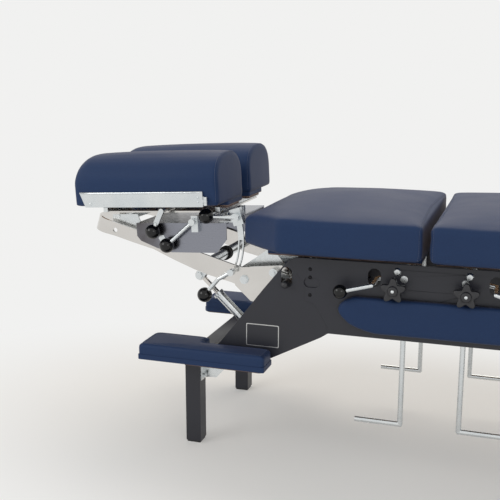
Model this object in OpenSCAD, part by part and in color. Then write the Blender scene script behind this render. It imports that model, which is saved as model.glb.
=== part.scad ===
// Chiropractic adjusting table with a lifting, tilting and dropping headpiece.
// Millimetres. X runs from the head end (negative) to the foot end, Y across, Z up.
// The origin is on the floor under the middle of the table; the near side is -Y.

/* [Table] */
// Overall length, from the headpiece to the end of the foot cushion
table_l = 1696; // [1640:2:1800]
// Width of the body cushions
cushion_w = 558; // [530:2:620]
// Height of the cushions' top edge above the floor
table_h = 587; // [560:1:660]
// Thickness of a body cushion at its edge
cushion_t = 81; // [66:1:96]
// Rise of a body cushion's crown above its edge
crown_h = 25; // [10:1:35]
// Gap between neighbouring body cushions
cushion_gap = 8; // [7.5:0.5:14]
// Thickness of the plywood under the cushions
board_t = 18; // [14:1:20]

/* [Frame] */
// Width of the frame over its legs
frame_w = 404; // [396:1:412]
// Outside size of the square leg tube
leg_tube = 38; // [34:1:40]
// Thickness of the steel side and leg plates
plate_t = 3; // [2.5:0.25:4]
// Height of the side plates
side_h = 172; // [160:1:180]
// Height of the knee pads on the side plates
side_pad_h = 86; // [70:1:92]
// Thickness of the knee pads
side_pad_t = 20; // [14:1:22]
// Height of the leg top, which carries the armrests
leg_top_h = 224; // [215:1:232]

/* [Armrests] */
// Length of an armrest
arm_l = 316; // [300:1:330]
// Width of an armrest at its wide end
arm_w = 107; // [100:1:116]
// Thickness of an armrest, board and pad
arm_t = 41; // [34:1:48]

/* [Headpiece] */
// Length of the two head cushions
head_l = 373; // [350:1:380]
// Width over both head cushions
head_w = 420; // [400:1:440]
// Gap for the face between the head cushions
face_gap = 48; // [40:1:60]
// Height of the head cushions at their crown
head_cushion_h = 130; // [110:1:145]
// Slope of the headpiece at rest, head end low
head_slope = 3; // [0:0.5:5]
// Thickness of the steel band that forms the lifting yoke
yoke_t = 6; // [5:0.25:7]
// Width over the yoke's two arms
yoke_w = 287; // [281:1:289]

/* [Controls] */
// Diameter of the ball knobs on the headpiece levers
ball_d = 36; // [28:1:38]
// Diameter of the ball knobs on the side levers
side_ball_d = 32; // [26:1:34]
// Diameter of the lever rods
lever_d = 10; // [8:0.5:11]
// Outside diameter of the star knobs
star_d = 57; // [48:1:60]
// Number of lobes on a star knob
star_lobes = 5; // [4:1:7]
// Diameter of the pedal rods
pedal_d = 12; // [10:0.5:13]
// Length of a pedal's tread
tread_l = 104; // [80:1:120]

/* [Hidden] */
$fn = 40;

// Finishes, as the photograph shows them
black_paint = [0.16, 0.16, 0.18];
navy = [0.17, 0.23, 0.36];
zinc = [0.72, 0.73, 0.73];
chrome = [0.82, 0.82, 0.84];
plywood = [0.72, 0.55, 0.38];
black_plastic = [0.06, 0.06, 0.07];

// One overrun for every cut, the running clearance of a shaft in its bore,
// and the gap between pieces that pass each other
over = 2;
fit = 0.05;
seat = 0.3;
bend_share = 1.03;

// Main places along X
head_end_x = -table_l / 2;
foot_end_x = table_l / 2;
head_zone_l = 428;
thoracic_x = head_end_x + head_zone_l;
gap_x = 8;
foot_gap_x = 416;
front_half_share = 0.68;
clip_share = 0.25;

// Main heights
under_gap = 18;
cushion_z = table_h - cushion_t;
frame_top = cushion_z - under_gap;
side_low = frame_top - side_h;
board_z = cushion_z - board_t - seat * 2;
glide_h = 3;

// Main half widths
leg_out = frame_w / 2;
leg_in = leg_out - leg_tube;
leg_plate_out = leg_out + plate_t;
side_out = leg_plate_out + plate_t;
board_half = leg_out - 7 * plate_t / 3;

// Head legs, and the plates that stand on them
head_leg_x = head_end_x + 285;
leg_plate_past_tube = 115;
leg_plate_drop = 24;
leg_plate_z = leg_top_h - leg_plate_drop;
leg_plate_shares = [[0, 0], [0.371, 0], [0.620, 0.149], [0.939, 0.358], [1, 0.410],
    [1, 1], [0.775, 1], [0.752, 0.990], [0.735, 0.972], [0.704, 0.944], [0.553, 0.712],
    [0.374, 0.420], [0.265, 0.250]];
release_slot_w = 26;
release_slot_h = 47;

// Side plates and their seam with the leg plates
side_x = head_leg_x + 263;
seam_l = 91;
side_foot_x = 690;
foot_cut = 44;
seam_shares = [[1, 0], [1, 0.076], [0.747, 0.308], [0.626, 0.390], [0.385, 0.424],
    [0.418, 0.593], [0.319, 0.680], [0.04, 0.913], [0.08, 0.97], [0.14, 1]];
recess_w = 37;
recess_h = 23;
recess_x = side_x + 52;
recess_z = frame_top - 56;
foot_leg_x = 602;

// Cross tubes: the one behind the pivot plates, the strut's, two under the sections
cross_x = head_end_x + 528;
leg_plate_l = cross_x + leg_plate_past_tube - head_leg_x;
cross_z = frame_top - 113;
strut_tube_s = 30;
strut_base_x = head_end_x + 448;
strut_base_z = frame_top - 235;
mid_tube_x = [-215, 250];
mid_tube_lift = 9;
foot_stretcher_z = 90;

// Knee pads on the side plates
pad_x = -187;
pad_l = 760;
pad_z = side_low + 11;
pad_shares = [[0, 0.63], [0.004, 0.72], [0.013, 0.82], [0.030, 0.93], [0.05, 1],
    [0.95, 1], [0.970, 0.93], [0.987, 0.82], [0.996, 0.72], [1, 0.63], [0.996, 0.5],
    [0.985, 0.38], [0.965, 0.22], [0.94, 0.12], [0.90, 0.02], [0.88, 0], [0.12, 0],
    [0.10, 0.02], [0.06, 0.12], [0.035, 0.22], [0.015, 0.38], [0.004, 0.5]];

// Armrests
arm_x = head_end_x + 191;
arm_board_t = 8;
arm_board_in = 4;
arm_notch_l = 147;
arm_in = leg_in - 1;
gusset_t = 3;
gusset_w = 30;
gusset_l = 82;
gusset_h = 62;
gusset_shares = [[0, 0], [0.38, 0.03], [0.75, 0.58], [1, 1], [0, 1]];
gusset_bolt_r = 4;
gusset_bolt_head_r = 6.4;

// Drop sections: hinge, cock shaft, slot, lever, pedals, knob and stop of each
hinge_r = 6;
hinge_z = frame_top - 22;
thoracic_hinge_x = thoracic_x + 130;
lumbar_hinge_x = 302;
lug_t = 6;
lug_r = 12;
lug_y = 120;
shaft_r = 8;
shaft_z = frame_top - 33;
section_shaft_x = [-42, 88];
section_lever_x = [-107, 151];
section_way = [-1, 1];
slot_w = 28;
slot_h = 41;
slot_low = frame_top - 54;
rod_lift = 10;
lever_y = side_out + 32;
lever_out = 69;
lever_fall = 19;
cam_r = 14;
cam_up = 5;
cam_t = 12;
cam_y = 60;
pedal_y = leg_out - 17;
pedal_z = 110;
hub_r = 10;
hub_t = 16;
section_star_x = [-61, 92];
star_z = frame_top - 52;
stud_r = 4;
star_y = side_out + 23;
star_t = 18;
hub_share = 0.42;
lobe_share = 0.27;
tension_s = 20;
tension_d = 11;
section_bolt_x = [-57, 96];
stop_w = 24;
stop_h = 12;
stop_y = 26;
stop_top = board_z - 10;
bolt_head_r = 9.5;
bolt_head_t = 5;
screw_r = 5;
screw_t = 2.5;
plate_screw_x = side_x + 48;
plate_screw_z = [-25, -44, -85];

// Lifting yoke: its pivot on the frame and its outline
pivot_r = 6;
pivot_x = head_end_x + 420;
pivot_z = frame_top - 76;
pivot_end_r = 24;
yoke_out = yoke_w / 2;
yoke_in = yoke_out - yoke_t;
yoke_x = head_end_x + 5;
yoke_l = pivot_x - yoke_x;
yoke_h = 159;
yoke_z = pivot_z - pivot_end_r;
yoke_front_z = pivot_z + 99;
yoke_slope = 17;
yoke_corner_r = 48;
yoke_steps = 12;
yoke_band_low = 20;
yoke_band_h = 100;
yoke_shares = [[-0.024, 0.783], [0.005, 1.006], [0.171, 0.899], [0.716, 0.508],
    [0.933, 0.352], [1, 0.314], [1, 0], [0.916, 0.079], [0.778, 0.164], [0.682, 0.239],
    [0.554, 0.365], [0.424, 0.509], [0.293, 0.594], [0.169, 0.682]];
yoke_hole_r = 6;
yoke_hole_x = yoke_x + 71;
yoke_hole_z = pivot_z + 99;
ear_r = 20;
pivot_plate_t = 6;
pivot_plate_in = yoke_out + seat;
pivot_plate_x = pivot_x - 24;
pivot_plate_l = cross_x - pivot_plate_x;
pivot_plate_h = 100;
pivot_plate_z = pivot_z - 60;
pivot_plate_shares = [[0, 0.44], [0.30, 0.08], [0.80, 0], [1, 0.20], [1, 0.94],
    [0.89, 1], [0.07, 0.885], [0.07, 0.66], [0, 0.58]];
washer_r = 11;
washer_t = 2;
hex_r = 10;
tilt_hex_r = 9;
hex_t = 6;

// Zinc channel between the pivot plates, with its two damper barrels
channel_x = cross_x - 126;
channel_half = yoke_in - 19.5;
channel_z = pivot_z;
channel_h = 69;
channel_wall = 4;
channel_back_share = 0.20;
channel_shares = [[0, 0], [1, 0], [1, channel_back_share], [0.84, 0.58], [0.667, 1],
    [0.516, 1], [0.119, 0.48], [0, 0.33]];
barrel_r = 14;
barrel_l = 84;
barrel_y = 60;

// Spreader tube of the yoke, and the strut's upper pin under it
spreader_r = 13;
spreader_x = pivot_x - 102;
spreader_z = pivot_z + 28;
strut_y = 32.5 - yoke_in;
strut_pin_r = 5;
strut_top_x = pivot_x - 129;
strut_top_z = pivot_z - 8;
strut_low_x = strut_base_x - 15;
strut_low_z = strut_base_z + strut_tube_s / 2;
strut_dx = strut_top_x - strut_low_x;
strut_dz = strut_top_z - strut_low_z;
strut_l = sqrt(strut_dx * strut_dx + strut_dz * strut_dz);
strut_angle = atan2(strut_dz, strut_dx);
clevis_t = 4;
clevis_gap = 16;
eye_t = 14;
eye_r = 11;
eye_play = 2.2;
clevis_hex_r = 9;
strut_r = 11;
strut_rod_r = 6;
strut_tube_l = 135;
rod_in_l = 92;
collar_r = 14;
collar_t = 7;
bumper_r = 18;
bumper_t = 16;

// Tilt: the pivot on the yoke, and the slotted strap that hangs from the carriage.
// The tilt lock's bolt stands on the yoke's near arm and runs in the slot.
tilt_x = head_end_x + 208;
tilt_z = pivot_z + 88;
strap_r = 197;
strap_w = 14;
strap_t = 6;
strap_y = 9.5 - yoke_in;
strap_low_a = -26;
strap_top_a = 23.5;
strap_slot_a = [-23.5, 1];
tilt_lock_a = -20.3;
tilt_lock_x = tilt_x + strap_r * cos(tilt_lock_a);
tilt_lock_z = tilt_z + strap_r * sin(tilt_lock_a);
lock_bolt_r = 3.5;
lock_nut_r = 6;
lock_nut_t = 3;
lock_shaft_r = 5;
lock_hub_r = 8;
lever_hub_t = 14;
block_a = 17.7;
block_l = 40;
block_w = 26;
block_t = 20;

// Headpiece carriage, in its own frame: u along the headpiece, w square to it
carriage_u = -68;
carriage_l = 237;
carriage_w = -35.5;
carriage_h = 72.5;
carriage_wall = 3;
carriage_half = yoke_out + 3.5 + carriage_wall;
carriage_top = carriage_w + carriage_h;
carriage_shares = [[0, 1], [0, 0.552], [0.042, 0.386], [0.224, 0.138], [0.380, 0],
    [0.878, 0], [0.992, 0.441], [1, 1]];
drop_u = -128;
drop_w = 50;
drop_pin_r = 4;
bracket_half = 124;
bracket_t = 4;
bracket_l = 105;
bracket_u = -145;
bracket_low = 8;
bracket_h = 47;
bracket_shares = [[0, 0.40], [0.68, 0], [1, 0], [1, 0.56], [0.72, 0.56], [0.66, 1], [0, 1]];
bracket_front_shares = [0.4, 0.8];
drop_plate_t = 4;
drop_plate_w = 60;
drop_plate_half = 130;
drop_lug_y = 100;
rail_s = 12;
rail_half = 150;
drop_stop_u = 140;
drop_stop_y = 60;
drop_stop_r = 6;
drop_stop_h = 13;
guide_w = 10;
head_board_t = 10;
head_board_w = drop_plate_w + drop_plate_t + rail_s + seat;
head_board_in = 5;
head_board_half = 132;
head_cushion_w = head_board_w + head_board_t;
head_half_w = (head_w - face_gap) / 2;
head_end_r = 48;
head_edge_r = 9;
head_u = (head_end_x - tilt_x + (head_cushion_w + head_cushion_h - head_end_r)
    * sin(head_slope)) / cos(head_slope);
rail_ends = [43.5, 31.5];
rail_u = [head_u + rail_ends[0], head_u + head_l - rail_ends[1]];
rail_margin = [4, 2];
drop_plate_u = rail_u[0] - rail_margin[0];
drop_plate_l = rail_u[1] + rail_s + rail_margin[1] - drop_plate_u;

// Headpiece levers, in the carriage's frame. The width lock stands on the drop plate,
// the cock shaft crosses the carriage, the strap lock enters the clamp block.
lever_gap = 1.5;
lever_plane = carriage_half + ball_d / 2 + lever_gap;
flat_w = 13;
flat_t = 5;
flat_end_share = 0.7;
lever_ear_t = 5;
width_u = 11;
width_w = 69;
width_r = 4;
width_ear_y = 100;
width_ear_half = 8;
width_ball_u = -16;
width_ball_w = 19;
cock_u = 90;
cock_w = 43;
cock_r = 5;
cock_tab_half = 12;
cock_tab_up = 10;
cock_hub_r = 8;
cock_cam_r = 6;
cock_cam_off = 4;
cock_cam_y = 60;
cock_ball_u = 19;
cock_ball_w = -15;
fitting_w = 17;
fitting_h = 40;
fitting_t = 12;
fitting_shares = [0.38, 0.65];
strap_lock_r = 5;
strap_lock_hub_r = 10;
strap_ball_u = 126;
strap_ball_w = 57;
lock_ball_x = pivot_x - 95;
lock_ball_z = pivot_z - 41;
lock_bend_x = pivot_x - 59;
lock_bend_z = pivot_z + 1;
lock_y = yoke_out + pivot_plate_t + ball_d / 2 + lever_gap;

// Release lever in the near leg plate
release_x = cross_x - 32;
release_z = frame_top - 51;
release_out = 44;
release_fall = 12;
release_r = 5;
grip_r = 9;
grip_l = 26;
release_hub_y = pivot_plate_in + pivot_plate_t;

// Face-paper clamp on the near head cushion, in the carriage's frame
clamp_u = -182;
clamp_end_u = 138;
clamp_pin_u = 146;
clamp_w = head_cushion_w - 1;
clamp_h = 36;
clamp_slant = 14;
clamp_wall = 2;
clamp_lip = 4;
clamp_tongue_h = 6;
clamp_base_l = 30;
clamp_base_up = 4;
clamp_base_h = 20;
knuckle_r = 4.5;
knuckle_pin_r = 2.5;
knuckle_h = 6.5;
rivet_r = 4;

// Helpers
module pair() { children(); mirror([0, 1, 0]) children(); }
module rod_y(r, y0, y1) { translate([0, y0, 0]) rotate([-90, 0, 0]) cylinder(r = r, h = y1 - y0); }
module box(x0, x1, y0, y1, z0, z1) { translate([x0, y0, z0]) cube([x1 - x0, y1 - y0, z1 - z0]); }
module plate_xz(y0, t) {
    translate([0, y0 + t, 0]) rotate([90, 0, 0]) linear_extrude(t) children();
}
module obround(w, h) {
    hull() for (s = [-1, 1]) translate([0, s * (h - w) / 2]) circle(w / 2);
}
module rod(p, q, r) {
    d = q - p;
    l = norm(d);
    translate(p) rotate([0, acos(d.z / l), atan2(d.y, d.x)]) cylinder(r = r, h = l);
}
module bent_rod(route, r) {
    for (i = [0 : len(route) - 2]) rod(route[i], route[i + 1], r);
    for (i = [1 : len(route) - 2]) translate(route[i]) sphere(r * bend_share);
}
module hex_head(r, t) { rotate([90, 0, 0]) cylinder(r = r, h = t, $fn = 6); }
module on_head() { translate([tilt_x, 0, tilt_z]) rotate([0, -head_slope, 0]) children(); }
function spread(shares, x, z, l, h) = [for (p = shares) [x + p.x * l, z + p.y * h]];

// Soft pieces: rings of points joined by faces, closed on a low and a high point
module loft(rings, low, high) {
    n = len(rings[0]);
    m = len(rings);
    points = concat([for (ring = rings, p = ring) p], [low, high]);
    faces = concat(
        [for (k = [0 : m - 2], i = [0 : n - 1]) let (j = (i + 1) % n)
            [k * n + i, (k + 1) * n + i, (k + 1) * n + j]],
        [for (k = [0 : m - 2], i = [0 : n - 1]) let (j = (i + 1) % n)
            [k * n + i, (k + 1) * n + j, k * n + j]],
        [for (i = [0 : n - 1]) [m * n, i, (i + 1) % n]],
        [for (i = [0 : n - 1]) [m * n + 1, (m - 1) * n + (i + 1) % n, (m - 1) * n + i]]);
    polyhedron(points, faces);
}
function mid(ring) = [for (k = [0 : 2]) let (s = [for (p = ring) p[k]]) (max(s) + min(s)) / 2];
function side(a, b) = let (d = b - a) [d.y, -d.x] / norm(d);
function inset(plan, i, d) = let (n = len(plan),
    e = side(plan[(i + n - 1) % n], plan[i]), f = side(plan[i], plan[(i + 1) % n]))
    plan[i] - (e + f) * d / (1 + e * f);
function rounded(corners, r, n) = [for (i = [0 : len(corners) - 1]) let (m = len(corners),
    e = side(corners[(i + m - 1) % m], corners[i]), f = side(corners[i], corners[(i + 1) % m]),
    c = corners[i] - (e + f) * r / (1 + e * f), a = atan2(e.y, e.x),
    turn = atan2(f.y, f.x) - a, t = turn < 0 ? turn + 360 : turn)
    for (j = [0 : n]) c + r * [cos(a + t * j / n), sin(a + t * j / n)]];
function filled(plan, step) = [for (i = [0 : len(plan) - 1]) let (a = plan[i],
    b = plan[(i + 1) % len(plan)], n = ceil(norm(b - a) / step))
    for (j = [0 : n - 1]) a + (b - a) * j / n];

// A cushion's side: insets are shares of its edge round, heights of the part below it
side_shares = [[0.64, 0], [0.24, 0.06], [0.06, 0.20], [0, 0.50], [0.04, 0.78], [0, 1]];
edge_steps = 4;
function cushion_side(plan, t, r, fall) = concat(
    [for (s = side_shares) level(plan, s[0] * r, s[1] * (t - r), t, fall)],
    [for (k = [1 : edge_steps]) let (a = 90 * k / edge_steps)
        level(plan, r * (1 - cos(a)), t - r + r * sin(a), t, fall)]);
function level(plan, d, z, t, fall) = [for (i = [0 : len(plan) - 1]) let (p = inset(plan, i, d))
    [p.x, p.y, z - (z / t) * sink(p.x, fall)]];
function sink(x, fall) = let (s = max(0, (fall[1] - x) / (fall[1] - fall[0])))
    fall[2] * min(1, s * s);

// The crown rises with the distance from every edge of the plan
crown_reach = 70;
crown_shares = [0.94, 0.82, 0.65, 0.45, 0.22];
fill_step = 95;
function crown_at(p, corners, i = 0) = i == len(corners) ? 1
    : (1 - exp(-max(0, (corners[i] - p) * side(corners[i], corners[(i + 1) % len(corners)]))
        / crown_reach)) * crown_at(p, corners, i + 1);
module cushion(corners, c, t, r, rise, fall) {
    plan = filled(rounded(corners, plan_r, plan_steps), fill_step);
    rim = [for (i = [0 : len(corners) - 1]) inset(corners, i, r)];
    walls = cushion_side(plan, t, r, fall);
    crown = [for (s = crown_shares) [for (p = walls[len(walls) - 1])
        let (q = c + ([p.x, p.y] - c) * s)
        [q.x, q.y, t - sink(q.x, fall) + rise * crown_at(q, rim) / crown_at(c, rim)]]];
    loft(concat(walls, crown), [c.x, c.y, 0], [c.x, c.y, t + rise - sink(c.x, fall)]);
}

edge_r = 15;
plan_r = 22;
plan_steps = 4;
front_fall = 16;
no_fall = [-1, 0, 0];
thoracic_end = gap_x - cushion_gap / 2;
lumbar_start = gap_x + cushion_gap / 2;
lumbar_end = foot_gap_x - cushion_gap / 2;
foot_start = foot_gap_x + cushion_gap / 2;
thoracic_l = thoracic_end - thoracic_x;
half_w = cushion_w / 2;
foot_corner_share = 0.16;
function section_corners(x0, x1) = [[x0, -half_w], [x1, -half_w], [x1, half_w], [x0, half_w]];
thoracic_corners = [[thoracic_x, -half_w * front_half_share],
    [thoracic_x + thoracic_l * clip_share, -half_w], [thoracic_end, -half_w],
    [thoracic_end, half_w], [thoracic_x + thoracic_l * clip_share, half_w],
    [thoracic_x, half_w * front_half_share]];
foot_clip = (foot_end_x - foot_start) * foot_corner_share;
foot_corners = [[foot_start, -half_w], [foot_end_x - foot_clip, -half_w],
    [foot_end_x, -half_w * (1 - foot_corner_share)],
    [foot_end_x, half_w * (1 - foot_corner_share)],
    [foot_end_x - foot_clip, half_w], [foot_start, half_w]];

module body_cushion(corners, x0, x1, fall) {
    color(navy) translate([0, 0, cushion_z])
        cushion(corners, [(x0 + x1) / 2, 0], cushion_t, edge_r, crown_h, fall);
}
module thoracic_cushion() {
    body_cushion(thoracic_corners, thoracic_x, thoracic_end,
        [thoracic_x, thoracic_x + thoracic_l * clip_share, front_fall]);
}
module lumbar_cushion() {
    body_cushion(section_corners(lumbar_start, lumbar_end), lumbar_start, lumbar_end, no_fall);
}
module foot_cushion() { body_cushion(foot_corners, foot_start, foot_end_x, no_fall); }

// Boards. The two drop sections hang on their hinge shafts by steel-bushed lugs.
board_in = 12;
module section_board(x0, x1, hinge_x) {
    color(plywood) {
        box(x0 + board_in, x1 - board_in, -board_half, board_half, board_z, board_z + board_t);
        pair() translate([hinge_x, -lug_y, hinge_z]) difference() {
            union() {
                rod_y(lug_r, -lug_t, lug_t);
                box(-lug_r, lug_r, -lug_t, lug_t, 0, board_z - hinge_z);
            }
            rod_y(hinge_r + fit, -lug_t - over, lug_t + over);
        }
    }
}
module thoracic_board() {
    section_board(thoracic_x + thoracic_l * clip_share / 2, thoracic_end, thoracic_hinge_x);
}
module lumbar_board() { section_board(lumbar_start, lumbar_end, lumbar_hinge_x); }
foot_board_in = 48;
foot_board_half = half_w - 30;
module foot_board() {
    color(plywood) box(foot_start + board_in, foot_end_x - foot_board_in, -foot_board_half,
        foot_board_half, frame_top, cushion_z);
}

// Side plates carry the pads, the section mechanisms and the fixed foot board
module side_outline() {
    polygon(concat([[side_foot_x - foot_cut, side_low], [side_foot_x, side_low + foot_cut],
        [side_foot_x, frame_top]],
        [for (i = [len(seam_shares) - 1 : -1 : 0]) let (p = seam_shares[i])
            [side_x + p.x * seam_l, side_low + p.y * side_h]]));
}
module side_plate(slots) {
    color(black_paint) difference() {
        plate_xz(-side_out, plate_t) difference() {
            side_outline();
            if (slots) {
                for (x = section_lever_x) translate([x, slot_low + slot_h / 2])
                    obround(slot_w, slot_h);
                translate([recess_x, recess_z]) rotate(90) obround(recess_h, recess_w);
            }
        }
        for (i = [0, 1]) {
            translate([section_shaft_x[i], 0, shaft_z])
                rod_y(shaft_r + fit, -side_out - over, -leg_out);
            translate([section_bolt_x[i], 0, stop_top - stop_h / 2])
                rod_y(stud_r, -side_out - over, -leg_out);
            if (slots) translate([section_star_x[i], 0, star_z])
                rod_y(stud_r + fit, -side_out - over, -leg_out);
        }
    }
}
module side_plate_near() { side_plate(true); }
module side_plate_far() { mirror([0, 1, 0]) side_plate(false); }

// Leg plates slope from the side plates down onto the head legs
release_slot_x = release_x + release_out;
release_slot_z = release_z - release_fall - grip_r + release_slot_h / 2 - seat;
module leg_plate(slot) {
    color(black_paint) plate_xz(-leg_plate_out, plate_t) difference() {
        polygon(concat(spread(leg_plate_shares, head_leg_x, leg_plate_z, leg_plate_l,
            frame_top - leg_plate_z), [[head_leg_x + leg_tube + gusset_w / 2, leg_top_h],
            [head_leg_x, leg_top_h]]));
        if (slot) translate([release_slot_x, release_slot_z])
            obround(release_slot_w, release_slot_h);
    }
}
module leg_plate_near() { leg_plate(true); }
module leg_plate_far() { mirror([0, 1, 0]) leg_plate(false); }

module leg(x, y, top) {
    box(x, x + leg_tube, -y - leg_tube, -y, glide_h, top);
}
module head_legs() { color(black_paint) pair() leg(head_leg_x, leg_in, leg_top_h); }
foot_leg_in = leg_plate_out - leg_tube;
module foot_legs() { color(black_paint) pair() leg(foot_leg_x, foot_leg_in, frame_top); }
glide_in = 2;
module leg_glides() {
    color(black_plastic) pair() {
        box(head_leg_x + glide_in, head_leg_x + leg_tube - glide_in, -leg_out + glide_in,
            -leg_in - glide_in, 0, glide_h);
        box(foot_leg_x + glide_in, foot_leg_x + leg_tube - glide_in,
            -leg_plate_out + glide_in, -foot_leg_in - glide_in, 0, glide_h);
    }
}
module cross_tubes() {
    color(black_paint) {
        box(head_leg_x, head_leg_x + leg_tube, -leg_in, leg_in, leg_top_h - leg_tube, leg_top_h);
        box(cross_x, cross_x + leg_tube, -leg_out, leg_out, cross_z, cross_z + leg_tube);
        box(strut_base_x, strut_base_x + strut_tube_s, -leg_out, leg_out, strut_base_z,
            strut_base_z + strut_tube_s);
        box(mid_tube_x[0], mid_tube_x[0] + strut_tube_s, -leg_out, leg_out,
            side_low + mid_tube_lift, side_low + mid_tube_lift + strut_tube_s);
        box(mid_tube_x[1], mid_tube_x[1] + strut_tube_s, -leg_plate_out, leg_plate_out,
            side_low + mid_tube_lift, side_low + mid_tube_lift + strut_tube_s);
        for (z = [foot_stretcher_z, frame_top - 2 * leg_tube])
            box(foot_leg_x, foot_leg_x + leg_tube, -foot_leg_in, foot_leg_in, z, z + leg_tube);
        for (s = [-1, 1]) translate([strut_low_x, strut_y + s * (clevis_gap + clevis_t) / 2,
            strut_low_z]) difference() {
            union() {
                rod_y(eye_r, -clevis_t / 2, clevis_t / 2);
                box(0, strut_base_x - strut_low_x, -clevis_t / 2, clevis_t / 2, -eye_r, eye_r);
            }
            rod_y(strut_pin_r, -clevis_t, clevis_t);
        }
    }
}

// Upholstered knee pads
pad_edge_r = 9;
module side_pads() {
    plan = spread(pad_shares, pad_x, pad_z, pad_l, side_pad_h);
    c = [pad_x + pad_l / 2, pad_z + side_pad_h / 2];
    color(navy) pair() translate([0, -side_out, 0]) rotate([90, 0, 0])
        loft(cushion_side([for (i = [len(plan) - 1 : -1 : 0]) plan[i]], side_pad_t, pad_edge_r,
            no_fall), [c.x, c.y, 0], [c.x, c.y, side_pad_t]);
}

// Armrests: a pad on a board, on the leg top and a gusset
arm_plate_gap = 1;
arm_edge_r = 11;
arm_crown = 3;
arm_centre_shares = [0.44, 0.66];
function arm_plan(d) = let (y0 = -arm_in - arm_w + d, y1 = -arm_in - d,
    y2 = -leg_plate_out - arm_plate_gap - d, x0 = arm_x + d, x1 = arm_x + arm_l - d,
    xn = arm_x + arm_notch_l - d, r = plan_r / 2)
    concat(rounded([[x0, y0], [x1, y0], [x1, y2]], r, plan_steps), [[xn, y2]],
        [[xn, y1 - r / 3], [xn - r / 3, y1]], [[x0 + r, y1], [x0 + r / 3, y1 - r / 3],
        [x0, y1 - r]]);
module armrest_boards() {
    color(plywood) pair() translate([0, 0, leg_top_h])
        linear_extrude(arm_board_t) polygon(arm_plan(arm_board_in));
}
module armrest_pads() {
    c = [arm_x + arm_l * arm_centre_shares.x, -arm_in - arm_w * arm_centre_shares.y];
    t = arm_t - arm_board_t;
    color(navy) pair() translate([0, 0, leg_top_h + arm_board_t])
        loft(cushion_side(arm_plan(0), t, arm_edge_r, no_fall), [c.x, c.y, 0],
            [c.x, c.y, t + arm_crown]);
}
module armrest_brackets() {
    x = head_leg_x + leg_tube;
    y = -leg_in - gusset_t;
    z = leg_top_h - gusset_h;
    color(zinc) pair() {
        plate_xz(y - gusset_t, gusset_t)
            polygon(spread(gusset_shares, x, z, gusset_l, gusset_h));
        box(x, x + gusset_t, y - gusset_w, y, z, leg_top_h);
        box(x, x + gusset_l, y - gusset_w, y, leg_top_h - gusset_t, leg_top_h);
        translate([x + gusset_t, y - gusset_w / 2, z + 2 * gusset_bolt_r])
            rotate([0, 90, 0]) cylinder(r = gusset_bolt_head_r, h = gusset_bolt_r, $fn = 6);
    }
}

// Section hinges, stops and tension blocks, fixed between the side plates
module hinge_shafts() {
    color(zinc) {
        translate([thoracic_hinge_x, 0, hinge_z]) rod_y(hinge_r, -leg_out, leg_out);
        translate([lumbar_hinge_x, 0, hinge_z]) rod_y(hinge_r, -leg_plate_out, leg_plate_out);
    }
}
module drop_stops() {
    color(zinc) for (x = section_bolt_x) pair() translate([x, 0, stop_top - stop_h / 2]) {
        rod_y(stud_r, -side_out, -leg_plate_out);
        intersection() {
            translate([0, -side_out + bolt_head_t / 2, 0]) sphere(bolt_head_r);
            rod_y(bolt_head_r, -side_out - bolt_head_t, -side_out);
        }
        box(-stop_w / 2, stop_w / 2, -leg_plate_out, -leg_plate_out + stop_y, -stop_h / 2,
            stop_h / 2);
    }
}
module tension_blocks() {
    color(zinc) for (x = section_star_x) translate([x, 0, star_z]) difference() {
        box(-tension_s / 2, tension_s / 2, -leg_plate_out, -leg_plate_out + tension_d,
            -tension_s / 2, tension_s / 2);
        rod_y(stud_r + fit, -side_out, 0);
    }
}
module plate_screws() {
    color(black_plastic) pair() for (dz = plate_screw_z)
        translate([plate_screw_x, 0, frame_top + dz]) intersection() {
            translate([0, -side_out + screw_t, 0]) sphere(screw_r);
            rod_y(screw_r, -side_out - screw_t, -side_out);
        }
}

// Cock shaft of a drop section, turned by a hand lever or by a pedal on either side
module cock_shaft(i) {
    x = section_shaft_x[i];
    lx = section_lever_x[i];
    w = section_way[i];
    lz = slot_low + rod_lift;
    ball = [lx + w * lever_out, -lever_y, lz - lever_fall];
    color(zinc) {
        translate([x, 0, shaft_z]) {
            rod_y(shaft_r, -side_out + plate_t / 6, side_out - plate_t / 6);
            pair() translate([0, -cam_y, cam_up]) rod_y(cam_r, -cam_t / 2, cam_t / 2);
            pair() translate([0, -pedal_y, 0]) rod_y(hub_r, -hub_t / 2, hub_t / 2);
        }
        bent_rod([[x, -pedal_y + hub_t, shaft_z], [lx, -pedal_y + hub_t, lz],
            [lx, -lever_y, lz], toward([lx, -lever_y, lz], ball, side_ball_d / 4 + seat)], lever_d / 2);
        pair() bent_rod([[x, -pedal_y, shaft_z], [x, -pedal_y, pedal_z],
            [x + w * tread_l, -pedal_y, pedal_z]], pedal_d / 2);
    }
}
module side_lever_ball(i) {
    color(black_plastic) translate([section_lever_x[i] + section_way[i] * lever_out, -lever_y,
        slot_low + rod_lift - lever_fall]) difference() {
        rotate([0, 0, 90]) sphere(side_ball_d / 2);
        ball_socket([-section_way[i] * lever_out, 0, lever_fall], side_ball_d);
    }
}
// The blind hole in a ball knob that its rod ends in
module ball_socket(way, d) {
    u = way / norm(way);
    rod(u * d / 4, u * d, lever_d / 2 + fit);
}
function toward(a, b, gap) = b + (a - b) * gap / norm(a - b);
module thoracic_cock_shaft() { cock_shaft(0); }
module lumbar_cock_shaft() { cock_shaft(1); }
module thoracic_ball() { side_lever_ball(0); }
module lumbar_ball() { side_lever_ball(1); }

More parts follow.
